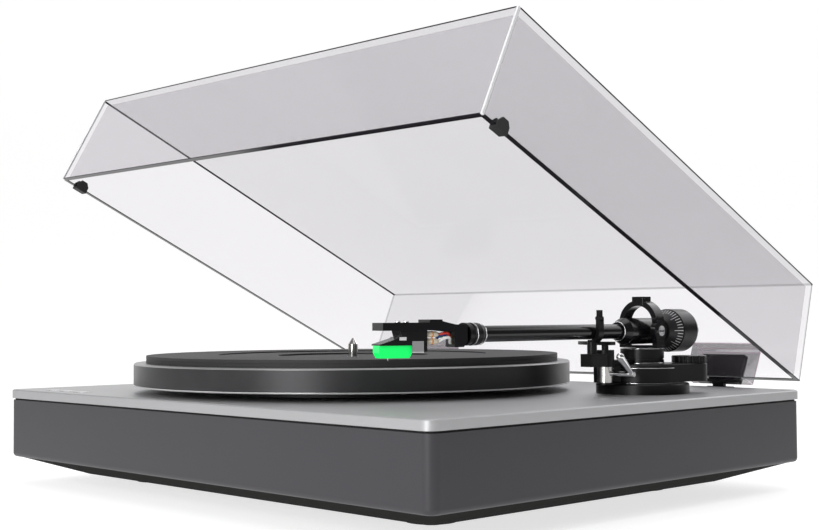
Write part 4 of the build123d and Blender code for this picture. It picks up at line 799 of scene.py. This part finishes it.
class PLAYER_OT_add_leads(Job, bpy.types.Operator):
    """Clips on the cartridge's pins and the four looped leads to the headshell"""
    bl_idname = "player.add_leads"
    bl_label = "Add the leads"

    def make(self, colours, sizes):
        # Profiles of a clip and of a pin: radius and distance along it, in mm
        clip = [(0, 0), (1.6, 0), (1.75, 1.2), (1.7, 6.4), (0.95, 8.0), (0, 8.0)]
        pin = [(0, 0), (0.6, 0), (0.6, 1.4), (0, 1.4)]
        clips, pins, bands = [], [], []
        for name, (inward, height, end_height, rise, bulge) in LEADS.items():
            start = on_shell(17.2, inward, height)
            end = on_shell(8.1, inward * 0.8, end_height)
            clips.append(turned(on_shell(24.8, inward, height), -SHELL_FORWARD,
                                np.array(clip) * MM, 20))
            pins.append(turned(end, SHELL_FORWARD, np.array(pin) * MM, 14))
            bands.append(ring_of(on_shell(20.8, inward, height), SHELL_FORWARD,
                                 1.6 * MM, 0.4 * MM, 20, 8))
            loop = (start + end) / 2 + UP * (rise * MM) + SHELL_INWARD * (bulge * MM)
            knots = [place + SHELL_FORWARD * (forward * MM) for place, forward in
                     ((start, 0.0), (start, -1.0), (loop, 1.6), (loop, -1.2),
                      (end, 1.4), (end, 0.6))]
            make_object("lead_" + name, *tube_along(smooth_path(knots, 14), sizes.lead_radius),
                        name, "tone_arm")
        make_object("lead_clips", *joined(*clips), "terminal", "tone_arm")
        make_object("shell_pins", *joined(*pins), "pin", "tone_arm", smooth=False)
        make_object("clip_bands", *joined(*bands), "band", "tone_arm")


class PLAYER_OT_add_cartridge_label(Job, bpy.types.Operator):
    """Grey panel and light marks on the sides of the cartridge"""
    bl_idname = "player.add_cartridge_label"
    bl_label = "Add the cartridge's label"

    def make(self, colours, sizes):
        def plate(place, length, thickness, height):
            return block(on_shell(*place), Vector((length, thickness, height)) * MM, SHELL_AXES)

        for side, word in ((1, "inner"), (-1, "outer")):
            face = side * 7.03
            panel = plate((30.6, face, 99.9), 7.0, 0.12, 6.6)
            line = plate((30.6, face + side * 0.04, 97.0), 7.0, 0.14, 0.5)
            spot = plate((39.6, face, 104.6), 4.2, 0.12, 1.8)
            make_object("cartridge_panel_" + word, *panel, "label", "tone_arm", smooth=False)
            make_object("cartridge_marks_" + word, *joined(line, spot), "marks", "tone_arm",
                        smooth=False)


class PLAYER_OT_add_socket_edges(Job, bpy.types.Operator):
    """Light caught in the edges of the clear hinge sockets"""
    bl_idname = "player.add_socket_edges"
    bl_label = "Add the sockets' edges"

    def make(self, colours, sizes):
        # Outline of a socket's side in the lid's plane: forward and above its rim, in mm
        back, top, lean, cut = -9.6, 26.7, 2.2, 2.0
        outline = [(0.0, 0.3), (back, 0.3), (back, top - cut), (back + cut, top), (lean, top)]
        half_width, end_half_width, hinge_right = 25.0, 24.7, 149.0
        for side, word in ((-1, "left"), (1, "right")):
            hinge = side * hinge_right
            lines = []
            for end in (-1, 1):
                ends = [on_lid(hinge + end * end_half_width, *spot) for spot in outline]
                lines += zip(ends, ends[1:])
            lines += [(on_lid(hinge - half_width, *spot), on_lid(hinge + half_width, *spot))
                      for spot in outline[1:]]
            strips = [tube_along(line, 0.42 * MM, 8) for line in lines]
            make_object("socket_edges_" + word, *joined(*strips), "lit_edge", "lid_set")


class PLAYER_OT_add_screws(Job, bpy.types.Operator):
    """Screws of the feet, the bottom pan and the headshell"""
    bl_idname = "player.add_screws"
    bl_label = "Add the screws"

    def make(self, colours, sizes):
        # Place, radius and height of the screws below the plinth
        spots = [(Vector((middle(foot).x, middle(foot).y, 2.6 * MM)), 3.6 * MM, 1.4 * MM)
                 for foot in ("front_left_foot", "front_right_foot", "rear_left_foot",
                              "rear_right_foot")]
        pan = Vector((middle("bottom_pan").x, middle("bottom_pan").y, low("bottom_pan").z))
        spots += [(pan + Vector((right * 168, deep * 128, 0)) * MM, 3.2 * MM, 1.1 * MM)
                  for right in (-1, 0, 1) for deep in (-1, 1)]
        long_way, short_way, shallow = 1.3, 0.28, 0.15 * MM
        heads = [screw_head(place, -UP, radius, height) for place, radius, height in spots]
        # Painted shade: two thin black blocks on each head stand for its cross recess
        recesses = [block(place - UP * height, (radius * first, radius * second, shallow),
                          basis(-UP))
                    for place, radius, height in spots
                    for first, second in ((long_way, short_way), (short_way, long_way))]
        make_object("deck_screws", *joined(*heads), "dark_screw", "deck", smooth=False)
        make_object("deck_screw_recesses", *joined(*recesses), "recess", "deck", smooth=False)
        places = [on_shell(37.5, inward, 113.5) for inward in (6.2865, -6.2865)]
        heads = [screw_head(place, UP, 1.7 * MM, 1.0 * MM) for place in places]
        # Painted shade: a thin black block on each head stands for its slot
        slots = [block(place + UP * MM, (2.8 * MM, 0.5 * MM, shallow), SHELL_AXES)
                 for place in places]
        make_object("shell_screws", *joined(*heads), "bright", "tone_arm", smooth=False)
        make_object("shell_screw_slots", *joined(*slots), "recess", "tone_arm", smooth=False)


class PLAYER_OT_add_socket_rings(Job, bpy.types.Operator):
    """Coloured rings at the foot of the signal sockets"""
    bl_idname = "player.add_socket_rings"
    bl_label = "Add the socket rings"

    def make(self, colours, sizes):
        inner, outer, bottom, top = 4.3 * MM, 7.2 * MM, 0.02 * MM, 0.5 * MM
        profile = [(inner, bottom), (outer, bottom), (outer, top), (inner, top), (inner, bottom)]
        mounts = {mount["name"]: Vector(mount["pos_m"]) for mount in frame["record"]["mounts"]}
        for name, key in (("phono_left", "socket_lining"), ("phono_right", "socket_red")):
            foot = Vector((mounts[name].x, high("rear_panel").y, mounts[name].z))
            make_object(name + "_ring", *turned(foot, BACK, profile, 40), key, "deck")


# Studio

def studio_paint(colour):
    """Floor and wall: bright round the player and behind it, falling to grey at the sides,
    as flags do."""
    paint = Paint("Studio floor", colour, 0.0, 0.8, specular=0.05)
    x, y, z = paint.axes(tuple(HOME))
    radius = x.hypot(y) + 0.001
    ahead = (y * cos(PHOTO_TURN) - x * sin(PHOTO_TURN)) / radius
    behind = paint.ramp01(ahead, 0.25, 0.85)
    glow = behind.math("MAXIMUM", 1 - paint.ramp01(radius, 0.9, 2.6))
    speck = paint.spread(paint.noise(30.0, 4.0), 0.98, 1.0)
    dark = [channel * 0.3 for channel in colour]
    paint.set("Base Color", paint.mix(glow * speck, dark, colour))
    paint.set("Emission Color", paint.mix(glow, (0.12, 0.12, 0.12), (1.0, 1.0, 1.0)))
    paint.set("Emission Strength", 0.72)
    return paint


def soft_light(name, place, size, power):
    """A rectangular soft light that looks at the player from this far off."""
    light = bpy.data.lights.new(name, "AREA")
    light.shape = "RECTANGLE"
    light.size, light.size_y = size
    light.energy = power
    made = linked(name, light)
    facing = (-Vector(place)).to_track_quat("-Z", "Y").to_matrix().to_4x4()
    made.matrix_world = Matrix.Translation(HOME + Vector(place)) @ facing
    return made


class PLAYER_OT_build_stage(Job, bpy.types.Operator):
    """Pale floor that curves up behind, soft lights and a pale surround"""
    bl_idname = "player.build_stage"
    bl_label = "Build the stage"

    def make(self, colours, sizes):
        # A pale bowl: flat floor, a quarter circle up, then an upright wall all round
        floor_radius, bend_radius, wall_top, drop = 3.6, 1.4, 7.0, -0.4 * MM
        bend = np.linspace(0, pi / 2, 13)
        profile = [(0.0, 0.0), *zip(floor_radius + bend_radius * np.sin(bend),
                                    bend_radius * (1 - np.cos(bend))),
                   (floor_radius + bend_radius, wall_top)]
        points, faces = turned(HOME + UP * drop, UP, profile, 96)
        mesh = bpy.data.meshes.new("studio_bowl")
        mesh.from_pydata(points.tolist(), [], faces[:-1])
        mesh.flip_normals()
        mesh.polygons.foreach_set("use_smooth", np.ones(len(mesh.polygons), bool))
        mesh.materials.append(studio_paint(colours.floor).material)
        made = linked("studio_bowl", mesh)
        world = bpy.data.worlds.new("Studio surround")
        bpy.context.scene.world = world
        world.use_nodes = True
        background = world.node_tree.nodes["Background"]
        background.inputs["Color"].default_value = (1.0, 1.0, 1.0, 1.0)
        background.inputs["Strength"].default_value = 0.25
        # Place from the player's middle and size in metres, power in watts
        lights = [soft_light("Overhead softbox", (-0.1, 0.2, 1.6), (1.6, 1.2), 10),
                  soft_light("Left softbox", (-0.9, -1.5, 0.8), (1.0, 1.0), 8),
                  soft_light("Front softbox", (0.5, -1.5, 0.45), (0.55, 0.9), 12),
                  soft_light("Rear softbox", (0.3, 1.5, 0.9), (1.4, 0.7), 5)]
        bpy.context.scene.view_settings.view_transform = "Standard"


class PLAYER_OT_place_camera(Job, bpy.types.Operator):
    """Camera where the photograph was taken from"""
    bl_idname = "player.place_camera"
    bl_label = "Place the camera"

    def make(self, colours, sizes):
        turn, tip, roll = PHOTO_TURN, radians(-2.28), radians(-0.34)
        picture_width, focal_pixels = 819, 1334.88
        back = Vector((sin(turn) * cos(tip), -cos(turn) * cos(tip), sin(tip)))
        right = (-back).cross(UP).normalized()
        up = right.cross(-back)
        rolled_right = right * cos(roll) + up * sin(roll)
        rolled_up = up * cos(roll) - right * sin(roll)
        data = bpy.data.cameras.new("Photo camera")
        data.sensor_width = 36.0
        data.lens = data.sensor_width * focal_pixels / picture_width
        data.clip_start = 0.01
        made = linked("Photo camera", data)
        place = HOME + Vector((0.68599, -0.64205, 0.11602))
        axes = Matrix((rolled_right, rolled_up, back)).transposed().to_4x4()
        made.matrix_world = Matrix.Translation(place) @ axes
        bpy.context.scene.camera = made


class PLAYER_PT_panel(bpy.types.Panel):
    """Sidebar panel with the colours, the sizes and one button for each job"""
    bl_idname = "PLAYER_PT_panel"
    bl_label = "Record player"
    bl_space_type = "VIEW_3D"
    bl_region_type = "UI"
    bl_category = "Player"

    def draw(self, context):
        for group in (context.scene.player_colours, context.scene.player_sizes):
            box = self.layout.box()
            for name in group.__annotations__:
                box.prop(group, name)
        for job in JOBS:
            self.layout.operator(job.bl_idname)


JOBS = (PLAYER_OT_dress_nodes, PLAYER_OT_add_arm_trim, PLAYER_OT_add_scale_marks,
        PLAYER_OT_add_leads, PLAYER_OT_add_cartridge_label, PLAYER_OT_add_socket_edges,
        PLAYER_OT_add_screws, PLAYER_OT_add_socket_rings, PLAYER_OT_build_stage,
        PLAYER_OT_place_camera)
CLASSES = (PlayerColours, PlayerSizes, *JOBS, PLAYER_PT_panel)


def register():
    for each in CLASSES:
        bpy.utils.register_class(each)
    bpy.types.Scene.player_colours = bpy.props.PointerProperty(type=PlayerColours)
    bpy.types.Scene.player_sizes = bpy.props.PointerProperty(type=PlayerSizes)


def unregister():
    del bpy.types.Scene.player_colours
    del bpy.types.Scene.player_sizes
    for each in reversed(CLASSES):
        bpy.utils.unregister_class(each)


def main():
    register()
    for job in JOBS:
        getattr(bpy.ops.player, job.bl_idname.partition(".")[2])()


if __name__ == "__main__":
    main()
